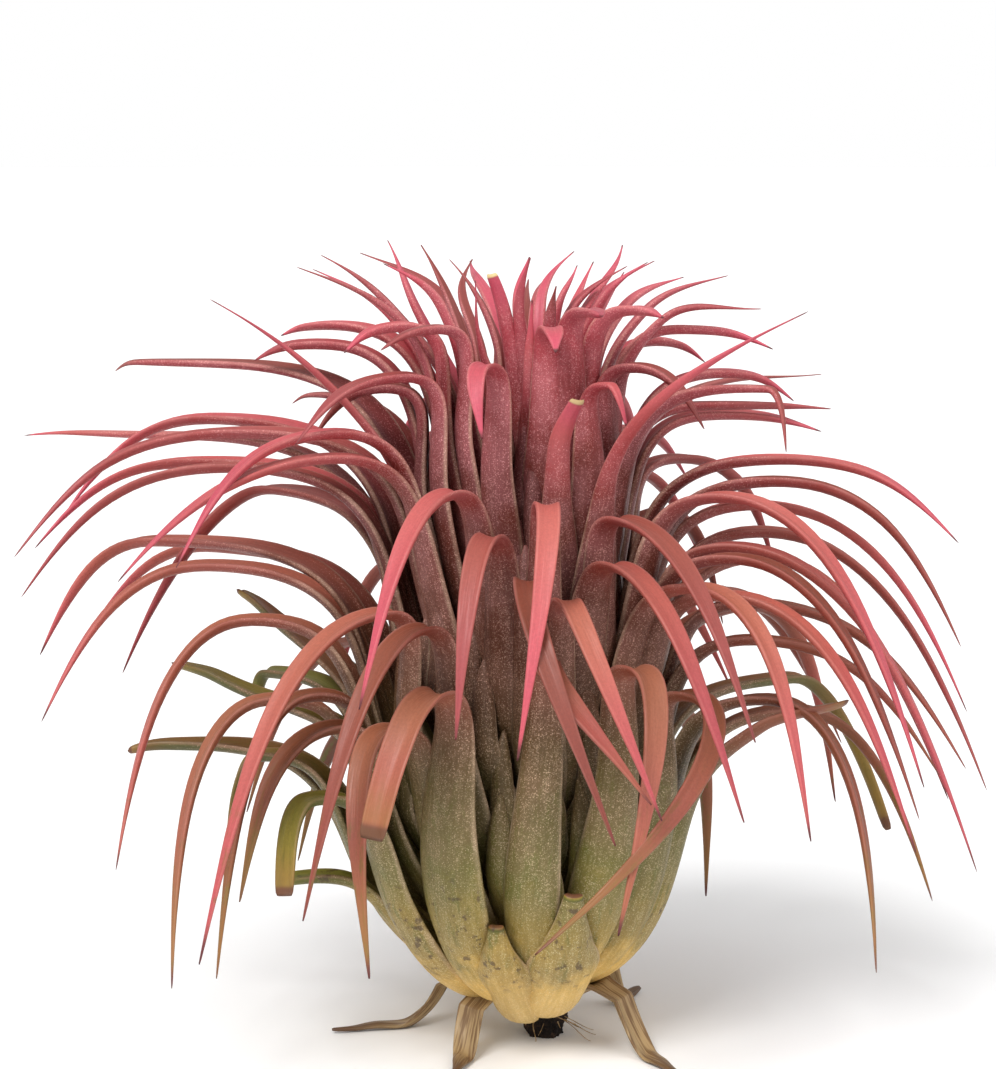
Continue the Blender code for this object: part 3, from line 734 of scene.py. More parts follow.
def lean_leaf(leaf, draw, sizes):
    """Give a leaf its own twist, lean, roll and girth."""
    leaf.full = sizes.fullness
    leaf.flesh = sizes.flesh / MM
    leaf.margin = sizes.margin / MM
    turn, lean, roll = (math.degrees(v) for v in (sizes.twist, sizes.lean, sizes.roll))
    leaf.twist = draw.uniform(-turn, turn)
    if leaf.old:
        leaf.lean = draw.uniform(-2.0 * lean, 2.0 * lean)
    elif not leaf.scale:
        leaf.lean = draw.uniform(-lean, lean) * (1.0 - 0.6 * leaf.whorl / (WHORLS + 1.0))
        leaf.roll = draw.uniform(0.15 * roll, roll)
        leaf.girth = draw.uniform(*GIRTHS)


def skin_point(leaf, station, across, section, length, offset, stand):
    """Return a point of the middle surface of a leaf, with its wrinkles and its droop."""
    here, side, inward, half, bow = section
    angle = across * half / bow
    out = side * math.sin(angle) - inward * math.cos(angle)
    point = here + side * (bow * math.sin(angle)) + inward * (bow * (1.0 - math.cos(angle)))
    swell = section_thickness(leaf, station, 0.0) - 1.5
    rough = noise.noise(Vector((length / WRINKLE_LENGTH, across * 1.4, offset)))
    point += out * (WRINKLE_DEPTH * rough * min(half / 3.0, 1.0) + max(swell, 0.0) * 0.25)
    point += out * stand * smooth_step(0.0, 0.3, station) * (1.0 - smooth_step(1.2, 1.9, station))
    if leaf.old:
        point.z -= OLD_DROP * smooth_step(1.2, 2.1, station)
        wave = 0.7 + 0.6 * noise.noise(Vector((length / WAVE_LENGTH, across, offset)))
        point.z = max(point.z, wave, OLD_LOWEST)
    elif leaf.whorl == 0:
        sink = 1.0 - smooth_step(0.0, 0.55, station)
        facing = math.cos(math.radians(leaf.azimuth - FRONT_AZIMUTH))
        point.z -= FRONT_SINK * max(facing, 0.0) ** 6 * sink
    return point


def store_leaf_values(mesh, data, kind):
    """Store the values that the materials read: data for each point and one kind for all."""
    colour = mesh.attributes.new("leaf_data", "FLOAT_COLOR", "POINT")
    colour.data.foreach_set("color", data.ravel())
    marks = mesh.attributes.new("leaf_kind", "FLOAT_VECTOR", "POINT")
    marks.data.foreach_set("vector", np.tile(kind, len(mesh.vertices)))


def lay_leaf(leaf, draw, sizes):
    """Add a grid and lay it along a leaf, with its lengths and tones as attributes."""
    bpy.ops.mesh.primitive_grid_add(x_subdivisions=ALONG_STEPS, y_subdivisions=ACROSS_STEPS, size=2.0)
    item = bpy.context.object
    item.name = "blade"
    mesh = item.data
    lean_leaf(leaf, draw, sizes)
    tone = draw.random()
    offset = draw.uniform(0.0, 50.0)
    stand = draw.uniform(-STAND_SPREAD, STAND_SPREAD)
    stations = even_stations(leaf, ALONG_STEPS)
    sections = [blade_frame(leaf, s) for s in stations]
    lengths = [0.0]
    for a, b in zip(sections, sections[1:]):
        lengths.append(lengths[-1] + (b[0] - a[0]).length)
    count = len(mesh.vertices)
    co = np.zeros(count * 3)
    mesh.vertices.foreach_get("co", co)
    co = co.reshape(-1, 3)
    data = np.ones((count, 4))
    place = np.zeros((count, 2))
    group = item.vertex_groups.new(name="flesh")
    for n in range(count):
        k = int(round((co[n, 0] + 1.0) * 0.5 * ALONG_STEPS))
        across = co[n, 1]
        station = stations[k]
        point = skin_point(leaf, station, across, sections[k], lengths[k], offset, stand)
        co[n] = [value * MM for value in point]
        data[n, :3] = (colour_station(leaf, station), across * 0.5 + 0.5, tone)
        place[n] = (lengths[k] * MM * UV_SHARE + offset, across * sections[k][3] * MM * UV_SHARE)
        thick = section_thickness(leaf, station, across) / THICKEST
        group.add([n], float(min(thick, 1.0)), "REPLACE")
    mesh.vertices.foreach_set("co", co.ravel())
    crest = GREEN_CREST if leaf.green else leaf.crest[1] / FULL_CREST
    store_leaf_values(mesh, data, (float(leaf.blunt), float(leaf.old), crest))
    corner = np.zeros(len(mesh.loops), dtype=np.int32)
    mesh.loops.foreach_get("vertex_index", corner)
    mesh.uv_layers.active.data.foreach_set("uv", place[corner].ravel())
    mesh.update()
    return item


def apply_modifier(item, kind, **values):
    """Add a modifier to an object and apply it."""
    bpy.context.view_layer.objects.active = item
    bpy.ops.object.modifier_add(type=kind)
    modifier = item.modifiers[-1]
    for key, value in values.items():
        setattr(modifier, key, value)
    bpy.ops.object.modifier_apply(modifier=modifier.name)


def join_objects(items, name):
    """Join objects into one piece."""
    deselect()
    for item in items:
        item.select_set(True)
    bpy.context.view_layer.objects.active = items[0]
    bpy.ops.object.join()
    piece = bpy.context.object
    piece.name = name
    piece.data.name = name
    return piece


def base_ring(whorl):
    """Add the fleshy ring by which the leaf bases of a whorl clasp the stem."""
    foot = whorl_foot(whorl)
    reach = stem_radius(foot + 3.0) if whorl <= WHORLS else HEART_REACH
    bpy.ops.mesh.primitive_torus_add(
        location=(0.0, 0.0, (foot + RING_LIFT) * MM),
        major_radius=(reach + RING_SPARE) * MM,
        minor_radius=RING_RADIUS * MM,
        major_segments=36,
        minor_segments=10,
    )
    item = bpy.context.object
    bpy.ops.object.transform_apply(location=True, rotation=True, scale=True)
    data = np.tile((0.0, 0.5, 0.5, 1.0), len(item.data.vertices))
    store_leaf_values(item.data, data, (0.0, 0.0, RING_CREST))
    return item


def inner_sheaths(leaves, whorl, draw):
    """Return short leaf bases that close the wide gaps of a whorl."""
    if whorl > WHORLS:
        return []
    foot = whorl_foot(whorl) + 2.0
    marks = sorted(leaf.azimuth % 360.0 for leaf in leaves if not leaf.old)
    height = sum(leaf.crest[1] for leaf in leaves if not leaf.old) / len(marks)
    spacing = SHEATH_SPACING + 0.8 * whorl
    made = []
    for a, b in zip(marks, marks[1:] + [marks[0] + 360.0]):
        count = int(round((b - a) / spacing)) - 1
        for k in range(count):
            azimuth = a + (b - a) * (k + 1) / (count + 1) + draw.uniform(-2.0, 2.0)
            crest = foot + (height - foot) * draw.uniform(0.44, 0.56)
            base = Leaf((azimuth, 0.0, crest, 0.0, 0.0, crest + 9.0, "rise"), 0.5)
            base.whorl = whorl
            base.hidden = True
            base.root = foot + draw.uniform(-0.8, 0.4)
            base.crest[0] = sheath_reach(crest, base) - 2.5
            base.tip[0] = base.crest[0] - draw.uniform(1.0, 3.0)
            made.append(base)
    return made


def build_leaves(whorl, leaves, materials, sizes):
    """Build the leaves of one whorl as one piece that stands for its node."""
    draw = random.Random(LEAF_SEED + whorl)
    node = whorl_name(whorl)
    deselect()
    every = leaves + inner_sheaths(leaves, whorl, draw)
    piece = join_objects([lay_leaf(leaf, draw, sizes) for leaf in every], "grown_" + node)
    for material in materials:
        piece.data.materials.append(material)
    for face in piece.data.polygons:
        face.material_index = 0
    apply_modifier(
        piece,
        "SOLIDIFY",
        thickness=THICKEST * MM,
        offset=0.0,
        vertex_group="flesh",
        use_even_offset=False,
        material_offset=1,
        material_offset_rim=1,
    )
    apply_modifier(piece, "SUBSURF", levels=sizes.smoothing, render_levels=sizes.smoothing)
    piece.vertex_groups.clear()
    ring_item = base_ring(whorl)
    ring_item.data.materials.append(materials[1])
    piece = join_objects([piece, ring_item], "grown_" + node)
    bpy.ops.object.shade_smooth()
    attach(piece, "root")
    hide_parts(node)


def whorl_name(whorl):
    """Return the node name of a whorl."""
    if whorl == 0:
        return "basal_leaves"
    if whorl > WHORLS:
        return "heart_leaves"
    return "leaf_whorl_%d" % whorl


# Finishes

# Colour stops: a place from 0 to 1, and the name of a tint or display values of 0 to 255
SHEATH_STOPS = (
    (0.04, "foot"), (0.10, "straw"), (0.15, (154, 130, 64)), (0.25, "olive"),
    (0.35, (92, 76, 38)), (0.46, "brown"), (0.72, "maroon"), (0.95, "rose"),
)
# Outer side of the blades: the real colour of the leaf back, made darker to also paint the shade that
# falls on the undersides of the arching blades
UNDERSIDE_AND_SHADE_STOPS = (
    (0.24, "green_under"), (0.36, (106, 62, 34)), (0.48, (122, 60, 38)),
    (0.62, (142, 62, 46)), (0.80, (156, 58, 58)), (1.0, (178, 66, 78)),
)
BLADE_STOPS = (
    (0.24, "green"), (0.34, (128, 78, 44)), (0.46, "blade_low"), (0.54, (156, 90, 66)),
    (0.63, "blade_middle"), (0.73, (188, 92, 88)), (0.88, (188, 76, 84)), (1.0, "blade_high"),
)
FAR_STOPS = (
    (0.24, (142, 130, 44)), (0.34, (124, 68, 38)), (0.46, (142, 66, 56)),
    (0.58, (178, 72, 80)), (0.75, "pink"), (1.0, (192, 70, 94)),
)
SCALE_STOPS = (
    (0.05, (250, 234, 180)), (0.20, "scurf"), (0.36, (230, 200, 164)),
    (0.52, (238, 186, 164)), (0.80, (242, 164, 166)),
)
STUB_STOPS = ((0.30, (18, 14, 12)), (0.50, "stub"), (0.62, (78, 56, 40)), (0.75, (136, 104, 74)))
FIBRE_STOPS = ((0.3, (96, 74, 50)), (0.55, "fibre"), (0.7, (206, 184, 146)))

# Single colours, display values
STREAK_DARK = (54, 30, 14)
MOTTLE_GREEN = (84, 88, 20)
FROST_LOW = (184, 156, 116)
FROST_HIGH = (214, 160, 164)
# Pale margin far along the blades: frosted margin, and also a painted highlight along the lit edges of
# the arching blades
MARGIN_AND_HIGHLIGHT_FAR = (228, 164, 150)
RIPE_OLIVE = (138, 104, 50)
CUT_BROWN = (104, 66, 44)
CUT_PALE = (212, 186, 132)
SPOT_BROWN = (66, 44, 34)
STRAW_DARK = (116, 88, 58)
STRAW_END = (92, 66, 46)
STUB_DARK = (24, 18, 15)
STEM_GREEN = (150, 142, 84)

# Texture scales, repeats a metre
BLOTCH_SCALE = 90.0
GRAIN_SCALE = 2300.0
FINE_SCALES = 4600.0
COARSE_SCALES = 3100.0
SPOT_SCALE = 480.0

PLANT_HEIGHT = 0.140
ZONE_WANDER = 0.026
TIP_WANDER = 0.03


class Graph:
    """A small helper that adds and links the nodes of a material or a group."""

    def __init__(self, tree, tints=None):
        self.tree = tree
        self.tints = tints

    def add(self, kind, settings=None, **inputs):
        """Add a node, set its options and feed its inputs by name or number."""
        item = self.tree.nodes.new(kind)
        for key, value in (settings or {}).items():
            setattr(item, key, value)
        for key, value in inputs.items():
            numbered = key[0] == "n" and key[1:].isdigit()
            self.feed(item.inputs[int(key[1:]) if numbered else key], value)
        return item

    def feed(self, socket, value):
        """Link or set one input."""
        if isinstance(value, bpy.types.NodeSocket):
            self.tree.links.new(value, socket)
        else:
            socket.default_value = value

    def place(self, inner, **inputs):
        """Place a node group, feed its inputs and return its outputs."""
        return self.add("ShaderNodeGroup", {"node_tree": inner}, **inputs).outputs

    def colour(self, value):
        """Return a tint or display values as a linear colour; a socket stays as it is."""
        if isinstance(value, bpy.types.NodeSocket):
            return value
        if isinstance(value, str):
            return (*getattr(self.tints, value), 1.0)
        return (*srgb(*value), 1.0)

    def math(self, operation, a, b):
        """Add a Math node and return its value."""
        return self.add("ShaderNodeMath", {"operation": operation}, n0=a, n1=b).outputs[0]

    def times(self, value, *others):
        """Multiply values."""
        for other in others:
            value = self.math("MULTIPLY", value, other)
        return value

    def stretch(self, vector, sizes):
        """Multiply a vector by a size for each axis."""
        item = self.add("ShaderNodeVectorMath", {"operation": "MULTIPLY"}, n0=vector, n1=sizes)
        return item.outputs[0]

    def ramp(self, value, low, high, to_low=0.0, to_high=1.0, smooth=True):
        """Map a value smoothly from one range to another."""
        kind = "SMOOTHSTEP" if smooth else "LINEAR"
        item = self.add("ShaderNodeMapRange", {"interpolation_type": kind}, n0=value, n1=low, n2=high)
        item.inputs["To Min"].default_value = to_low
        item.inputs["To Max"].default_value = to_high
        return item.outputs["Result"]

    def mix(self, share, a, b):
        """Mix two colours."""
        item = self.add(
            "ShaderNodeMix",
            {"data_type": "RGBA"},
            n0=share,
            n6=self.colour(a),
            n7=self.colour(b),
        )
        return item.outputs[2]

    def colours(self, value, stops):
        """Add a colour ramp through the given stops."""
        item = self.add("ShaderNodeValToRGB", None, Fac=value)
        ramp = item.color_ramp
        while len(ramp.elements) < len(stops):
            ramp.elements.new(0.5)
        for element, (at, colour) in zip(ramp.elements, stops):
            element.position = at
            element.color = self.colour(colour)
        return item.outputs["Color"]

    def noise(self, vector, scale, detail=2.0, rough=0.5):
        """Add a noise texture and return its value."""
        item = self.add(
            "ShaderNodeTexNoise", None, Vector=vector, Scale=scale, Detail=detail, Roughness=rough)
        return item.outputs["Fac"]


def new_group(name, inputs, outputs):
    """Make an empty node group with named sockets and return its graph and its ends."""
    tree = bpy.data.node_groups.new(name, "ShaderNodeTree")
    for way, sockets in (("INPUT", inputs), ("OUTPUT", outputs)):
        for label, kind in sockets:
            tree.interface.new_socket(name=label, in_out=way, socket_type="NodeSocket" + kind)
    given = tree.nodes.new("NodeGroupInput").outputs
    return Graph(tree), given, tree.nodes.new("NodeGroupOutput").inputs


def scurf_group():
    """Silvery scales: small bright flecks over the leaf skin, whose many strengths also paint glints.
    """
    graph, given, out = new_group(
        "silvery scurf",
        (("Vector", "Vector"), ("Amount", "Float"), ("Scale", "Float")),
        (("Mask", "Float"), ("Height", "Float")),
    )
    cells = graph.add(
        "ShaderNodeTexVoronoi", {"feature": "F1"}, Vector=given["Vector"], Scale=given["Scale"])
    picked = graph.add("ShaderNodeSeparateColor", None, Color=cells.outputs["Color"]).outputs
    size = graph.ramp(cells.outputs["Distance"], 0.62, 0.20)
    limit = graph.math("SUBTRACT", 1.0, given["Amount"])
    chosen = graph.ramp(graph.math("SUBTRACT", picked[0], limit), 0.0, 0.5)
    # Random strength of each fleck: the uneven real scales, and also painted glints where scales catch
    # the light
    strength = graph.ramp(graph.math("POWER", picked[1], 1.2), 0.0, 1.0, 0.12, 1.0, False)
    graph.feed(out["Mask"], graph.times(size, chosen, strength))
    graph.feed(out["Height"], size)
    return graph.tree


def streak_group():
    """Long pale and dark streaks that follow the length of a leaf."""
    graph, given, out = new_group(
        "leaf streaks", (("Place", "Vector"), ("Finer", "Float")), (("Value", "Float"),))
    drawn = graph.stretch(given["Place"], (6.0, 90.0, 1.0))
    wide = graph.noise(drawn, 1.0, 3.0, 0.6)
    finer = graph.add("ShaderNodeVectorMath", {"operation": "SCALE"}, n0=drawn, Scale=given["Finer"])
    thin = graph.noise(finer.outputs[0], 1.0)
    both = graph.math("ADD", graph.times(wide, 0.6), graph.times(thin, 0.4))
    graph.feed(out["Value"], graph.ramp(both, 0.36, 0.64))
    return graph.tree


def new_material(name, specular, tints):
    """Make a Principled material and return it with its graph and its shader."""
    material = bpy.data.materials.new(name)
    material.use_nodes = True
    shader = material.node_tree.nodes["Principled BSDF"]
    shader.inputs["Specular IOR Level"].default_value = specular
    return material, Graph(material.node_tree, tints), shader


def finish_skin(graph, shader, colour, rough, height, strength, distance):
    """Feed the colour, the roughness and the bump of a material."""
    bump = graph.add("ShaderNodeBump", None, Strength=strength, Distance=distance, Height=height)
    graph.feed(shader.inputs["Base Color"], colour)
    graph.feed(shader.inputs["Roughness"], rough)
    graph.feed(shader.inputs["Normal"], bump.outputs["Normal"])


def leaf_inputs(graph, streaks):
    """Return the places, leaf values and patterns that a leaf material is built from."""
    coords = graph.add("ShaderNodeTexCoord").outputs
    data = graph.add("ShaderNodeAttribute", {"attribute_name": "leaf_data"})
    parts = graph.add("ShaderNodeSeparateColor", None, Color=data.outputs["Color"]).outputs
    kind = graph.add("ShaderNodeAttribute", {"attribute_name": "leaf_kind"})
    marks = graph.add("ShaderNodeSeparateXYZ", None, Vector=kind.outputs["Vector"]).outputs
    height = graph.add("ShaderNodeSeparateXYZ", None, Vector=coords["Object"]).outputs[2]
    blotch = graph.noise(coords["Object"], BLOTCH_SCALE, 3.0, 0.6)
    wander = graph.math("SUBTRACT", blotch, 0.5)
    level = graph.math("ADD", height, graph.times(wander, ZONE_WANDER))
    doubled = graph.times(parts[1], 2.0)
    return SimpleNamespace(
        object=coords["Object"],
        uv=coords["UV"],
        along=parts[0],
        edge=graph.math("ABSOLUTE", graph.math("SUBTRACT", doubled, 1.0), 0.0),
        tone=parts[2],
        blunt=marks[0],
        old=marks[1],
        crest=marks[2],
        height=height,
        blotch=blotch,
        level=level,
        zone=graph.ramp(level, 0.0, PLANT_HEIGHT, 0.0, 1.0, False),
        end=graph.math("ADD", parts[0], graph.times(wander, TIP_WANDER)),
        streak=graph.place(streaks, Place=coords["UV"], Finer=3.0)["Value"],
    )


def bare_skin(graph, at, outer):
    """Return the colour of the bare skin: sheath, blade, tones of single leaves and streaks."""
    sheath = graph.colours(at.zone, SHEATH_STOPS)
    blade = graph.colours(at.crest, BLADE_STOPS)
    far = graph.colours(at.crest, FAR_STOPS)
    face = graph.mix(graph.ramp(at.along, 0.72, 0.95), blade, far)
    dusky = graph.mix(0.7, face, "dusky")
    face = graph.mix(graph.ramp(at.tone, 0.6, 0.15), face, dusky)
    tan = graph.mix(graph.ramp(at.crest, 0.52, 0.80, 0.8, 0.3), face, "tan")
    tanned = graph.times(graph.ramp(at.tone, 0.62, 0.9), graph.ramp(at.along, 0.72, 0.94, 1.0, 0.35))
    face = graph.mix(tanned, face, tan)
    if outer:
        # The outer side takes the darker leaf-back colour, which also paints the shade under the
        # arching blades
        underside_and_shade = graph.colours(at.crest, UNDERSIDE_AND_SHADE_STOPS)
        face = graph.mix(graph.ramp(at.along, 0.62, 0.90, 0.0, 0.85), underside_and_shade, face)
    start = 0.46 if outer else 0.36
    colour = graph.mix(graph.ramp(at.along, start, start + 0.2), sheath, face)
    grain = graph.noise(at.object, GRAIN_SCALE, 2.0, 0.7)
    grain = graph.ramp(grain, 0.36, 0.64, 0.93, 1.07, False)
    shade = graph.times(graph.ramp(at.tone, 0.0, 1.0, 0.78, 1.14, False), grain)
    colour = graph.add("ShaderNodeHueSaturation", None, Value=shade, Color=colour).outputs["Color"]
    darker = graph.mix(0.5, colour, STREAK_DARK)
    lined = graph.times(at.streak, graph.ramp(at.along, 0.45, 0.65, 0.32, 0.20))
    colour = graph.mix(lined, colour, darker)
    mottle = graph.noise(graph.stretch(at.uv, (16.0, 60.0, 1.0)), 1.0, 3.0, 0.65)
    low_part = graph.times(graph.ramp(at.height, 0.062, 0.034), graph.ramp(at.level, 0.012, 0.024))
    return graph.mix(graph.times(graph.ramp(mottle, 0.50, 0.68), low_part, 0.75), colour, MOTTLE_GREEN)


def scaly_cover(graph, at, outer, colour, near, fleck):
    """Return the colour with silvery scales, a frost of the finest ones and a pale margin."""
    silver = graph.mix(0.15, graph.colours(at.zone, SCALE_STOPS), colour)
    patchy = graph.ramp(at.blotch, 0.3, 0.7, 0.55, 1.0)
    colour = graph.mix(graph.times(fleck, patchy), colour, silver)
    frost = graph.times(near, graph.ramp(at.blotch, 0.35, 0.65), 0.14 if outer else 0.04)
    colour = graph.mix(frost, colour, graph.mix(graph.ramp(at.zone, 0.4, 0.7), FROST_LOW, FROST_HIGH))
    # Pale margin: the frosted edge of the sheaths, carried far along the blades, where it also paints
    # the highlight on their lit edges
    margin_and_highlight = graph.times(
        graph.ramp(at.edge, 0.80, 1.0),
        graph.ramp(at.along, 0.86, 0.45, 0.16, 0.55),
        graph.ramp(fleck, 0.0, 0.5, 0.5, 1.0),
        graph.ramp(at.blotch, 0.35, 0.6, 0.45, 1.0),
    )
    return graph.mix(margin_and_highlight, colour, graph.mix(graph.ramp(at.along, 0.45, 0.62), "margin", MARGIN_AND_HIGHLIGHT_FAR))


def worn_ends(graph, at, colour):
    """Return the colour with olive and dark ends, cut ends, scars and the dry old leaves."""
    ripe = graph.times(graph.ramp(at.end, 0.84, 0.96), graph.ramp(at.crest, 0.62, 0.48, 0.0, 0.7))
    colour = graph.mix(ripe, colour, RIPE_OLIVE)
    tip = graph.times(graph.ramp(at.end, 0.965, 1.0), graph.ramp(at.tone, 0.1, 0.8, 0.4, 1.0))
    colour = graph.mix(tip, colour, "tip")
    cut = graph.times(graph.ramp(at.end, 0.975, 0.992), at.blunt)
    colour = graph.mix(cut, colour, graph.mix(graph.ramp(at.crest, 0.7, 0.9), CUT_BROWN, CUT_PALE))
    spot = graph.times(
        graph.ramp(graph.noise(at.object, SPOT_SCALE, 3.0, 0.6), 0.58, 0.68),
        at.blunt,
        graph.ramp(at.height, 0.040, 0.030),
        graph.ramp(at.height, 0.012, 0.018, 0.0, 0.7),
    )
    colour = graph.mix(spot, colour, SPOT_BROWN)
    straw = graph.mix(graph.ramp(at.streak, 0.2, 0.9), "dry", STRAW_DARK)
    straw = graph.mix(graph.ramp(at.end, 0.80, 1.0), straw, STRAW_END)
    dry = graph.times(at.old, graph.ramp(at.end, 0.08, 0.4, 0.1, 0.95))
    return graph.mix(dry, colour, straw)


def leaf_material(name, outer, scurf, streaks, tints):
    """Make the skin of one side of the leaves: the scaly outer side or the satin inner side."""
    material, graph, shader = new_material(name, 0.4, tints)
    at = leaf_inputs(graph, streaks)
    colour = bare_skin(graph, at, outer)
    higher = graph.ramp(at.crest, 0.70, 1.0, 0.0, 0.22)
    near = graph.ramp(graph.math("SUBTRACT", at.along, higher), 0.80, 0.48)
    share = near if outer else graph.ramp(at.along, 0.62, 0.35, 0.0, 0.8)
    share = graph.times(share, graph.ramp(at.streak, 0.15, 0.85, 1.0, 0.55))
    fine = graph.place(scurf, Vector=at.object, Amount=share, Scale=FINE_SCALES)
    coarse = graph.place(scurf, Vector=at.object, Amount=graph.times(share, 0.5), Scale=COARSE_SCALES)
    fleck = graph.math("MAXIMUM", fine["Mask"], coarse["Mask"])
    colour = worn_ends(graph, at, scaly_cover(graph, at, outer, colour, near, fleck))
    rough = graph.ramp(at.streak, 0.0, 1.0, 0.42, 0.58)
    rough = graph.math("SUBTRACT", rough, graph.times(fleck, 0.12))
    height = graph.math("ADD", graph.times(fine["Height"], share, 0.8), graph.times(at.streak, 0.5))
    finish_skin(graph, shader, colour, rough, height, 0.6, 0.00012)
    return material


def root_material(tints):
    """Make the crumbly skin of the dead root stub."""
    material, graph, shader = new_material("dead_root_skin", 0.25, tints)
    place = graph.add("ShaderNodeTexCoord").outputs["Object"]
    crumb = graph.noise(place, 900.0, 5.0, 0.7)
    fibre = graph.noise(place, 260.0, 3.0, 0.6)
    colour = graph.mix(graph.ramp(fibre, 0.45, 0.62), graph.colours(crumb, STUB_STOPS), STUB_DARK)
    rough = graph.ramp(crumb, 0.3, 0.7, 0.98, 0.75)
    finish_skin(graph, shader, colour, rough, crumb, 0.9, 0.0004)
    return material


def fibre_material(tints):
    """Make the dry straw finish of the thin roots."""
    material, graph, shader = new_material("dry_root_fibre", 0.3, tints)
    place = graph.add("ShaderNodeTexCoord").outputs["Object"]
    grain = graph.noise(place, 700.0, 3.0, 0.6)
    rough = graph.ramp(grain, 0.3, 0.7, 0.9, 0.65)
    finish_skin(graph, shader, graph.colours(grain, FIBRE_STOPS), rough, grain, 0.4, 0.0001)
    return material


def stem_material(streaks, tints):
    """Make the fibrous flesh of the stem."""
    material, graph, shader = new_material("stem_fibres", 0.3, tints)
    place = graph.add("ShaderNodeTexCoord").outputs["Object"]
    drawn = graph.stretch(place, (40.0, 40.0, 2.0))
    fibre = graph.place(streaks, Place=drawn, Finer=2.0)["Value"]
    colour = graph.mix(fibre, STEM_GREEN, "stem")
    rough = graph.ramp(fibre, 0.0, 1.0, 0.75, 0.6)
    finish_skin(graph, shader, colour, rough, fibre, 0.4, 0.0002)
    return material


def floor_material(tints):
    """Make the plain pale floor."""
    material, graph, shader = new_material("pale_floor", 0.2, tints)
    shader.inputs["Base Color"].default_value = graph.colour("floor_colour")
    shader.inputs["Roughness"].default_value = 0.85
    return material


# Stub, thin roots and studio


def build_root_stub(settings):
    """Build the crumbly stub that stands for its node."""
    low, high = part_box("root_stub")
    middle = (low + high) / 2.0
    top = high.z + 0.0034
    deselect()
    bpy.ops.mesh.primitive_cone_add(
        vertices=40,
        radius1=settings.stub_foot,
        radius2=settings.stub_top,
        depth=top,
        location=(middle.x, middle.y, top / 2.0),
    )
    item = bpy.context.object
    item.name = "crumbly_stub"
    bpy.ops.object.mode_set(mode="EDIT")
    bpy.ops.mesh.select_all(action="SELECT")
    bpy.ops.mesh.quads_convert_to_tris()
    bpy.ops.mesh.subdivide(number_cuts=3)
    bpy.ops.object.mode_set(mode="OBJECT")
    bpy.ops.object.transform_apply(location=True, rotation=True, scale=True)
    apply_modifier(item, "REMESH", mode="VOXEL", voxel_size=0.00024)
    for vert in item.data.vertices:
        out = Vector((vert.co.x - middle.x, vert.co.y - middle.y, 0.0)).normalized()
        crumb = noise.fractal(vert.co * 620.0, 1.0, 2.0, 4)
        lump = noise.noise(vert.co * 260.0)
        vert.co += out * (0.00055 * crumb + settings.stub_lumps * lump)
        up = noise.noise(vert.co * 330.0 + Vector((7.0, 3.0, 1.0))) * 0.0009
        share = smooth_step(0.0004, 0.0022, vert.co.z) * smooth_step(top, top - 0.0006, vert.co.z)
        vert.co.z = max(vert.co.z + up * share, 0.0)
    item.data.materials.append(root_material(settings))
    bpy.ops.object.shade_flat()
    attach(item, "root")
    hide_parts("root_stub")


def build_fibres(settings):
    """Build the thin dry roots that trail from the stub."""
    draw = random.Random(5)
    made = []
    for k in range(settings.fibre_count):
        azimuth = math.radians(draw.uniform(-150.0, 40.0))
        start = Vector((1.2 + 3.0 * math.cos(azimuth), 3.0 * math.sin(azimuth), draw.uniform(2.6, 4.4)))
        length = draw.uniform(3.5, 9.0)
        deselect()
        bpy.ops.curve.primitive_bezier_curve_add()
        item = bpy.context.object
        curve = item.data
        spline = curve.splines[0]
        heading = Vector((math.cos(azimuth), math.sin(azimuth), 0.0))
        side = Vector((-heading.y, heading.x, 0.0)) * draw.uniform(-0.8, 0.8)
        end = start + heading * length * 0.8 + side * length * 0.5
        end.z = max(start.z - draw.uniform(0.5, 3.6), 0.25)
        rise = Vector((0.0, 0.0, draw.uniform(-0.3, 0.9)))
        spline.bezier_points[0].co = start * MM
        spline.bezier_points[0].handle_right = (start + heading * length * 0.3 + rise) * MM
        spline.bezier_points[0].handle_left = (start - heading * 0.5) * MM
        spline.bezier_points[1].co = end * MM
        spline.bezier_points[1].handle_left = (end - heading * length * 0.2 - side * 0.6) * MM
        spline.bezier_points[1].handle_right = (end + heading * 0.5) * MM
        spline.bezier_points[1].radius = 0.5
        curve.bevel_depth = draw.uniform(0.7, 1.3) * settings.fibre_radius
        curve.bevel_resolution = 2
        curve.resolution_u = 14
        curve.use_fill_caps = True
        bpy.ops.object.convert(target="MESH")
        made.append(bpy.context.object)
    piece = join_objects(made, "dry_root_fibres")
    bpy.ops.object.transform_apply(location=True, rotation=True, scale=True)
    piece.data.materials.clear()
    piece.data.materials.append(fibre_material(settings))
    bpy.ops.object.shade_smooth()
    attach(piece, "root")


def dress_stem(settings):
    """Give the stem, which keeps its own shape, its fibrous finish."""
    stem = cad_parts["stem"]
    stem.data.materials.clear()
    stem.data.materials.append(stem_material(streak_group(), settings))


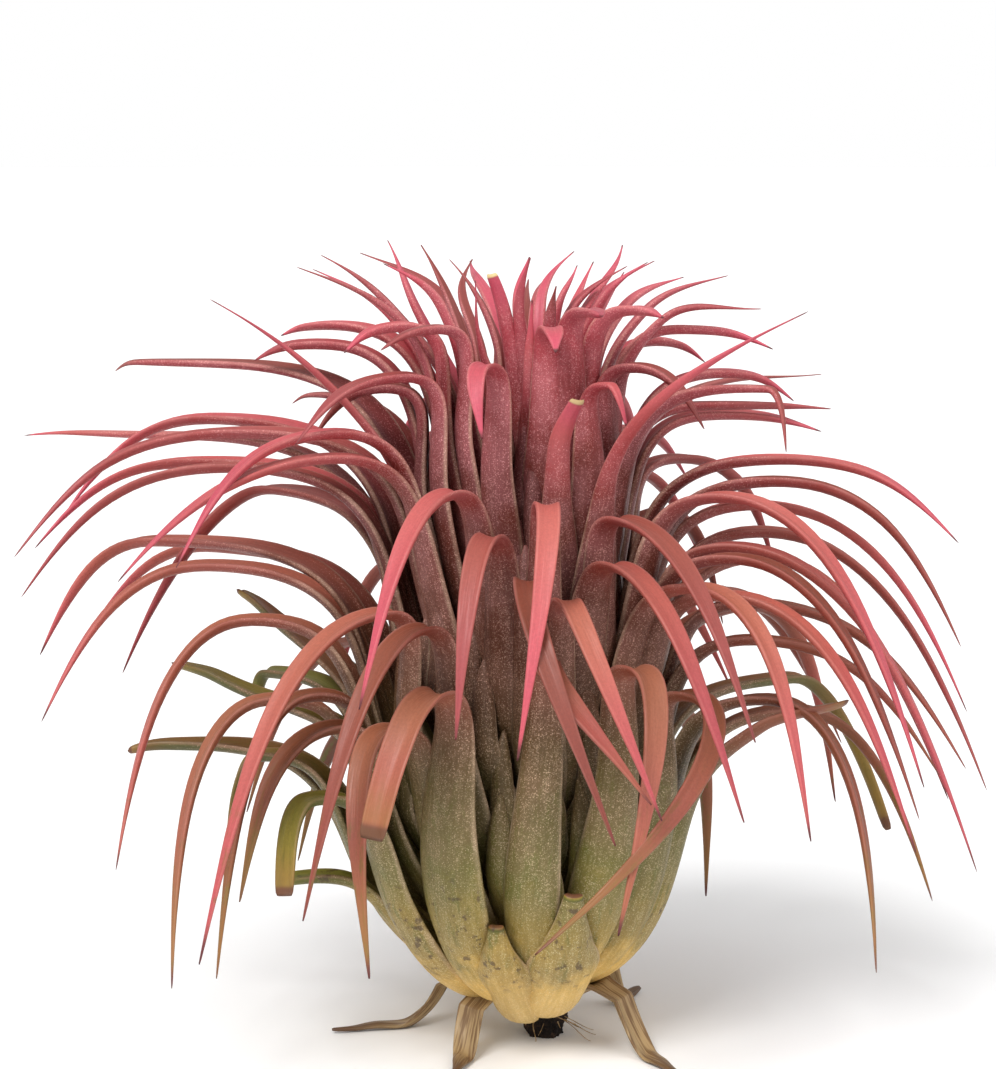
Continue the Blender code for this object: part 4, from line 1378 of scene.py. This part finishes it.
def build_stage(settings):
    """Build the floor, the lights, the world and the camera."""
    deselect()
    bpy.ops.mesh.primitive_circle_add(vertices=96, radius=settings.floor_radius, fill_type="NGON")
    floor = bpy.context.object
    floor.name = "floor"
    floor.data.materials.append(floor_material(settings))
    scene = bpy.context.scene
    world = bpy.data.worlds.new("white_studio")
    world.use_nodes = True
    graph = Graph(world.node_tree)
    seen = graph.add("ShaderNodeLightPath").outputs["Is Camera Ray"]
    backdrop = world.node_tree.nodes["Background"]
    graph.feed(backdrop.inputs["Strength"], graph.ramp(seen, 0.0, 1.0, settings.sky_light, 1.0, False))
    backdrop.inputs["Color"].default_value = (1.0, 1.0, 1.0, 1.0)
    scene.world = world
    for name, turn, energy, angle in (
        ("key", (42.0, 0.0, -28.0), settings.key_light, 24.0),
        ("fill", (55.0, 0.0, 48.0), settings.fill_light, 50.0),
    ):
        bpy.ops.object.light_add(type="SUN", rotation=[math.radians(v) for v in turn])
        light = bpy.context.object
        light.name = name + "_light"
        light.data.energy = energy
        light.data.angle = math.radians(angle)
    target = Vector((-0.0064, 0.0, 0.0895))
    tilt = math.radians(8.0)
    away = settings.camera_distance
    spot = target + Vector((0.0, -away * math.cos(tilt), away * math.sin(tilt)))
    bpy.ops.object.camera_add(location=spot, rotation=(math.radians(82.0), 0.0, 0.0))
    camera = bpy.context.object
    camera.name = "camera"
    camera.data.sensor_width = 36.0
    camera.data.lens = settings.camera_lens
    camera.data.dof.use_dof = False
    scene.camera = camera
    scene.view_settings.view_transform = "Standard"


# Settings, operators and panel


def colour_setting(label, text, *display):
    """Return a colour setting with its default given in display values."""
    return bpy.props.FloatVectorProperty(
        name=label, description=text, default=srgb(*display), min=0.0, max=1.0, size=3, subtype="COLOR")


def length_setting(label, text, default):
    """Return a length setting in metres."""
    return bpy.props.FloatProperty(
        name=label,
        description=text,
        default=default,
        min=0.0,
        precision=5,
        unit="LENGTH",
        subtype="DISTANCE",
    )


def angle_setting(label, text, degrees):
    """Return an angle setting with its default given in degrees."""
    return bpy.props.FloatProperty(
        name=label,
        description=text,
        default=math.radians(degrees),
        subtype="ANGLE",
    )


def number_setting(label, text, default):
    """Return a plain number setting."""
    return bpy.props.FloatProperty(name=label, description=text, default=default, min=0.0)


class SkyPlantLeafSizes(bpy.types.PropertyGroup):
    """Sizes of the dressed leaves."""

    flesh: length_setting("Flesh", "Thickness in the middle of a sheath", 0.0018)
    margin: length_setting("Margin", "Thickness at the margin of a blade", 0.0004)
    fullness: number_setting("Fullness", "Width of a leaf as a share of its solid", 1.08)
    twist: angle_setting("Blade twist", "Most that a blade twists towards its tip", 16.0)
    lean: angle_setting("Sheath lean", "Most that a leaf base leans to one side", 9.0)
    roll: angle_setting("Sheath roll", "Most that a sheath rolls over its neighbour", 20.0)
    smoothing: bpy.props.IntProperty(
        name="Smoothing", description="Subdivision level of the leaves", default=1, min=0, max=2)


class SkyPlantLeafTints(bpy.types.PropertyGroup):
    """Colours of the leaves, from the foot to the heart."""

    foot: colour_setting("Foot", "Fleshy leaf bases at the root", 238, 200, 122)
    straw: colour_setting("Straw", "Leaf bases just above the root", 220, 180, 96)
    olive: colour_setting("Olive", "Low sheaths", 102, 96, 40)
    brown: colour_setting("Brown", "Sheaths at half height", 84, 46, 24)
    maroon: colour_setting("Maroon", "High sheaths", 108, 36, 28)
    rose: colour_setting("Rose", "Sheaths of the heart", 170, 54, 68)
    green: colour_setting("Green", "Inner side of the green leaves", 122, 118, 42)
    green_under: colour_setting("Green underside", "Outer side of the green leaves", 84, 84, 30)
    blade_low: colour_setting("Low blades", "Blades of the low leaves", 144, 84, 56)
    blade_middle: colour_setting("Middle blades", "Blades at half height", 184, 96, 82)
    blade_high: colour_setting("High blades", "Blades of the heart", 192, 76, 94)
    pink: colour_setting("Pink", "Outer half of the upper blades", 186, 72, 90)
    dusky: colour_setting("Dusky", "Blades of the brownish leaves", 118, 62, 34)
    tan: colour_setting("Tan", "Blades of the paler brown leaves", 146, 90, 66)
    scurf: colour_setting("Scurf", "Silvery scales of the sheaths", 222, 206, 160)
    margin: colour_setting("Margin", "Pale edge of the sheaths", 220, 190, 160)
    tip: colour_setting("Tip", "Dark leaf tips", 92, 42, 44)
    dry: colour_setting("Dry", "Old leaves at the foot", 168, 142, 102)


class SkyPlantRoot(bpy.types.PropertyGroup):
    """Sizes and colours of the root stub, the thin roots and the stem."""

    stub_foot: length_setting("Stub foot", "Radius of the stub where it stands", 0.0037)
    stub_top: length_setting("Stub top", "Radius of the stub under the leaves", 0.0050)
    stub_lumps: length_setting("Stub lumps", "Depth of the lumps in the stub", 0.0013)
    fibre_radius: length_setting("Thin roots", "Mean radius of the thin roots", 0.00013)
    fibre_count: bpy.props.IntProperty(
        name="Thin roots", description="Number of thin roots", default=9, min=1
    )
    stub: colour_setting("Stub", "Crumbly skin of the stub", 44, 33, 26)
    fibre: colour_setting("Fibre", "Dry thin roots", 168, 140, 102)
    stem: colour_setting("Stem", "Fibres of the stem", 198, 184, 128)


class SkyPlantStage(bpy.types.PropertyGroup):
    """Sizes and lights of the studio."""

    floor_radius: length_setting("Floor radius", "Radius of the pale floor", 12.0)
    floor_colour: colour_setting("Floor", "Colour of the pale floor", 246, 246, 246)
    sky_light: number_setting("Sky light", "Strength of the white surroundings", 0.66)
    key_light: number_setting("Key light", "Strength of the soft main light", 2.5)
    fill_light: number_setting("Fill light", "Strength of the wide second light", 0.75)
    camera_distance: length_setting(
        "Camera distance", "Distance from the camera to the middle of the plant", 0.5
    )
    camera_lens: number_setting("Lens", "Focal length in millimetres", 96.82)


class SKYPLANT_OT_leaves(bpy.types.Operator):
    """Grow every whorl of leaves, from the lowest sheaths to the heart"""

    bl_idname = "skyplant.leaves"
    bl_label = "Grow leaves"

    def execute(self, context):
        scene = context.scene
        whorls = grow_leaves()
        bend_clear([leaf for whorl in whorls for leaf in whorl])
        groups = (scurf_group(), streak_group())
        skins = (
            leaf_material("leaf_inner_skin", False, *groups, scene.sky_plant_tints),
            leaf_material("leaf_outer_skin", True, *groups, scene.sky_plant_tints),
        )
        for whorl, leaves in enumerate(whorls):
            build_leaves(whorl, leaves, skins, scene.sky_plant_leaves)
        return {"FINISHED"}


class SKYPLANT_OT_stub(bpy.types.Operator):
    """Build the crumbly dead root stub"""

    bl_idname = "skyplant.stub"
    bl_label = "Build root stub"

    def execute(self, context):
        build_root_stub(context.scene.sky_plant_root)
        return {"FINISHED"}


class SKYPLANT_OT_fibres(bpy.types.Operator):
    """Build the thin dry roots that trail from the stub"""

    bl_idname = "skyplant.fibres"
    bl_label = "Build thin roots"

    def execute(self, context):
        build_fibres(context.scene.sky_plant_root)
        return {"FINISHED"}


class SKYPLANT_OT_stem(bpy.types.Operator):
    """Give the stem its fibrous finish"""

    bl_idname = "skyplant.stem"
    bl_label = "Dress stem"

    def execute(self, context):
        dress_stem(context.scene.sky_plant_root)
        return {"FINISHED"}


class SKYPLANT_OT_stage(bpy.types.Operator):
    """Set up the pale floor, the soft light and the camera"""

    bl_idname = "skyplant.stage"
    bl_label = "Set up stage"

    def execute(self, context):
        build_stage(context.scene.sky_plant_stage)
        return {"FINISHED"}


class SKYPLANT_PT_panel(bpy.types.Panel):
    """Sky plant tools"""

    bl_label = "Sky plant"
    bl_idname = "SKYPLANT_PT_panel"
    bl_space_type = "VIEW_3D"
    bl_region_type = "UI"
    bl_category = "Sky plant"

    def draw(self, context):
        layout = self.layout
        for name in STEPS:
            layout.operator("skyplant." + name)
        for name, group in SETTINGS:
            box = layout.box()
            values = getattr(context.scene, name)
            for key in group.__annotations__:
                box.prop(values, key)


STEPS = ("leaves", "stub", "fibres", "stem", "stage")
SETTINGS = (
    ("sky_plant_leaves", SkyPlantLeafSizes),
    ("sky_plant_tints", SkyPlantLeafTints),
    ("sky_plant_root", SkyPlantRoot),
    ("sky_plant_stage", SkyPlantStage),
)
CLASSES = (
    SkyPlantLeafSizes,
    SkyPlantLeafTints,
    SkyPlantRoot,
    SkyPlantStage,
    SKYPLANT_OT_leaves,
    SKYPLANT_OT_stub,
    SKYPLANT_OT_fibres,
    SKYPLANT_OT_stem,
    SKYPLANT_OT_stage,
    SKYPLANT_PT_panel,
)


def register():
    """Register the classes and the settings."""
    for item in CLASSES:
        bpy.utils.register_class(item)
    for name, group in SETTINGS:
        setattr(bpy.types.Scene, name, bpy.props.PointerProperty(type=group))


def unregister():
    """Take the classes and the settings away."""
    for name, group in SETTINGS:
        delattr(bpy.types.Scene, name)
    for item in reversed(CLASSES):
        bpy.utils.unregister_class(item)


def main():
    """Build the plant and the stage."""
    register()
    bpy.ops.skyplant.leaves()
    bpy.ops.skyplant.stub()
    bpy.ops.skyplant.fibres()
    bpy.ops.skyplant.stem()
    bpy.ops.skyplant.stage()


if __name__ == "__main__":
    main()
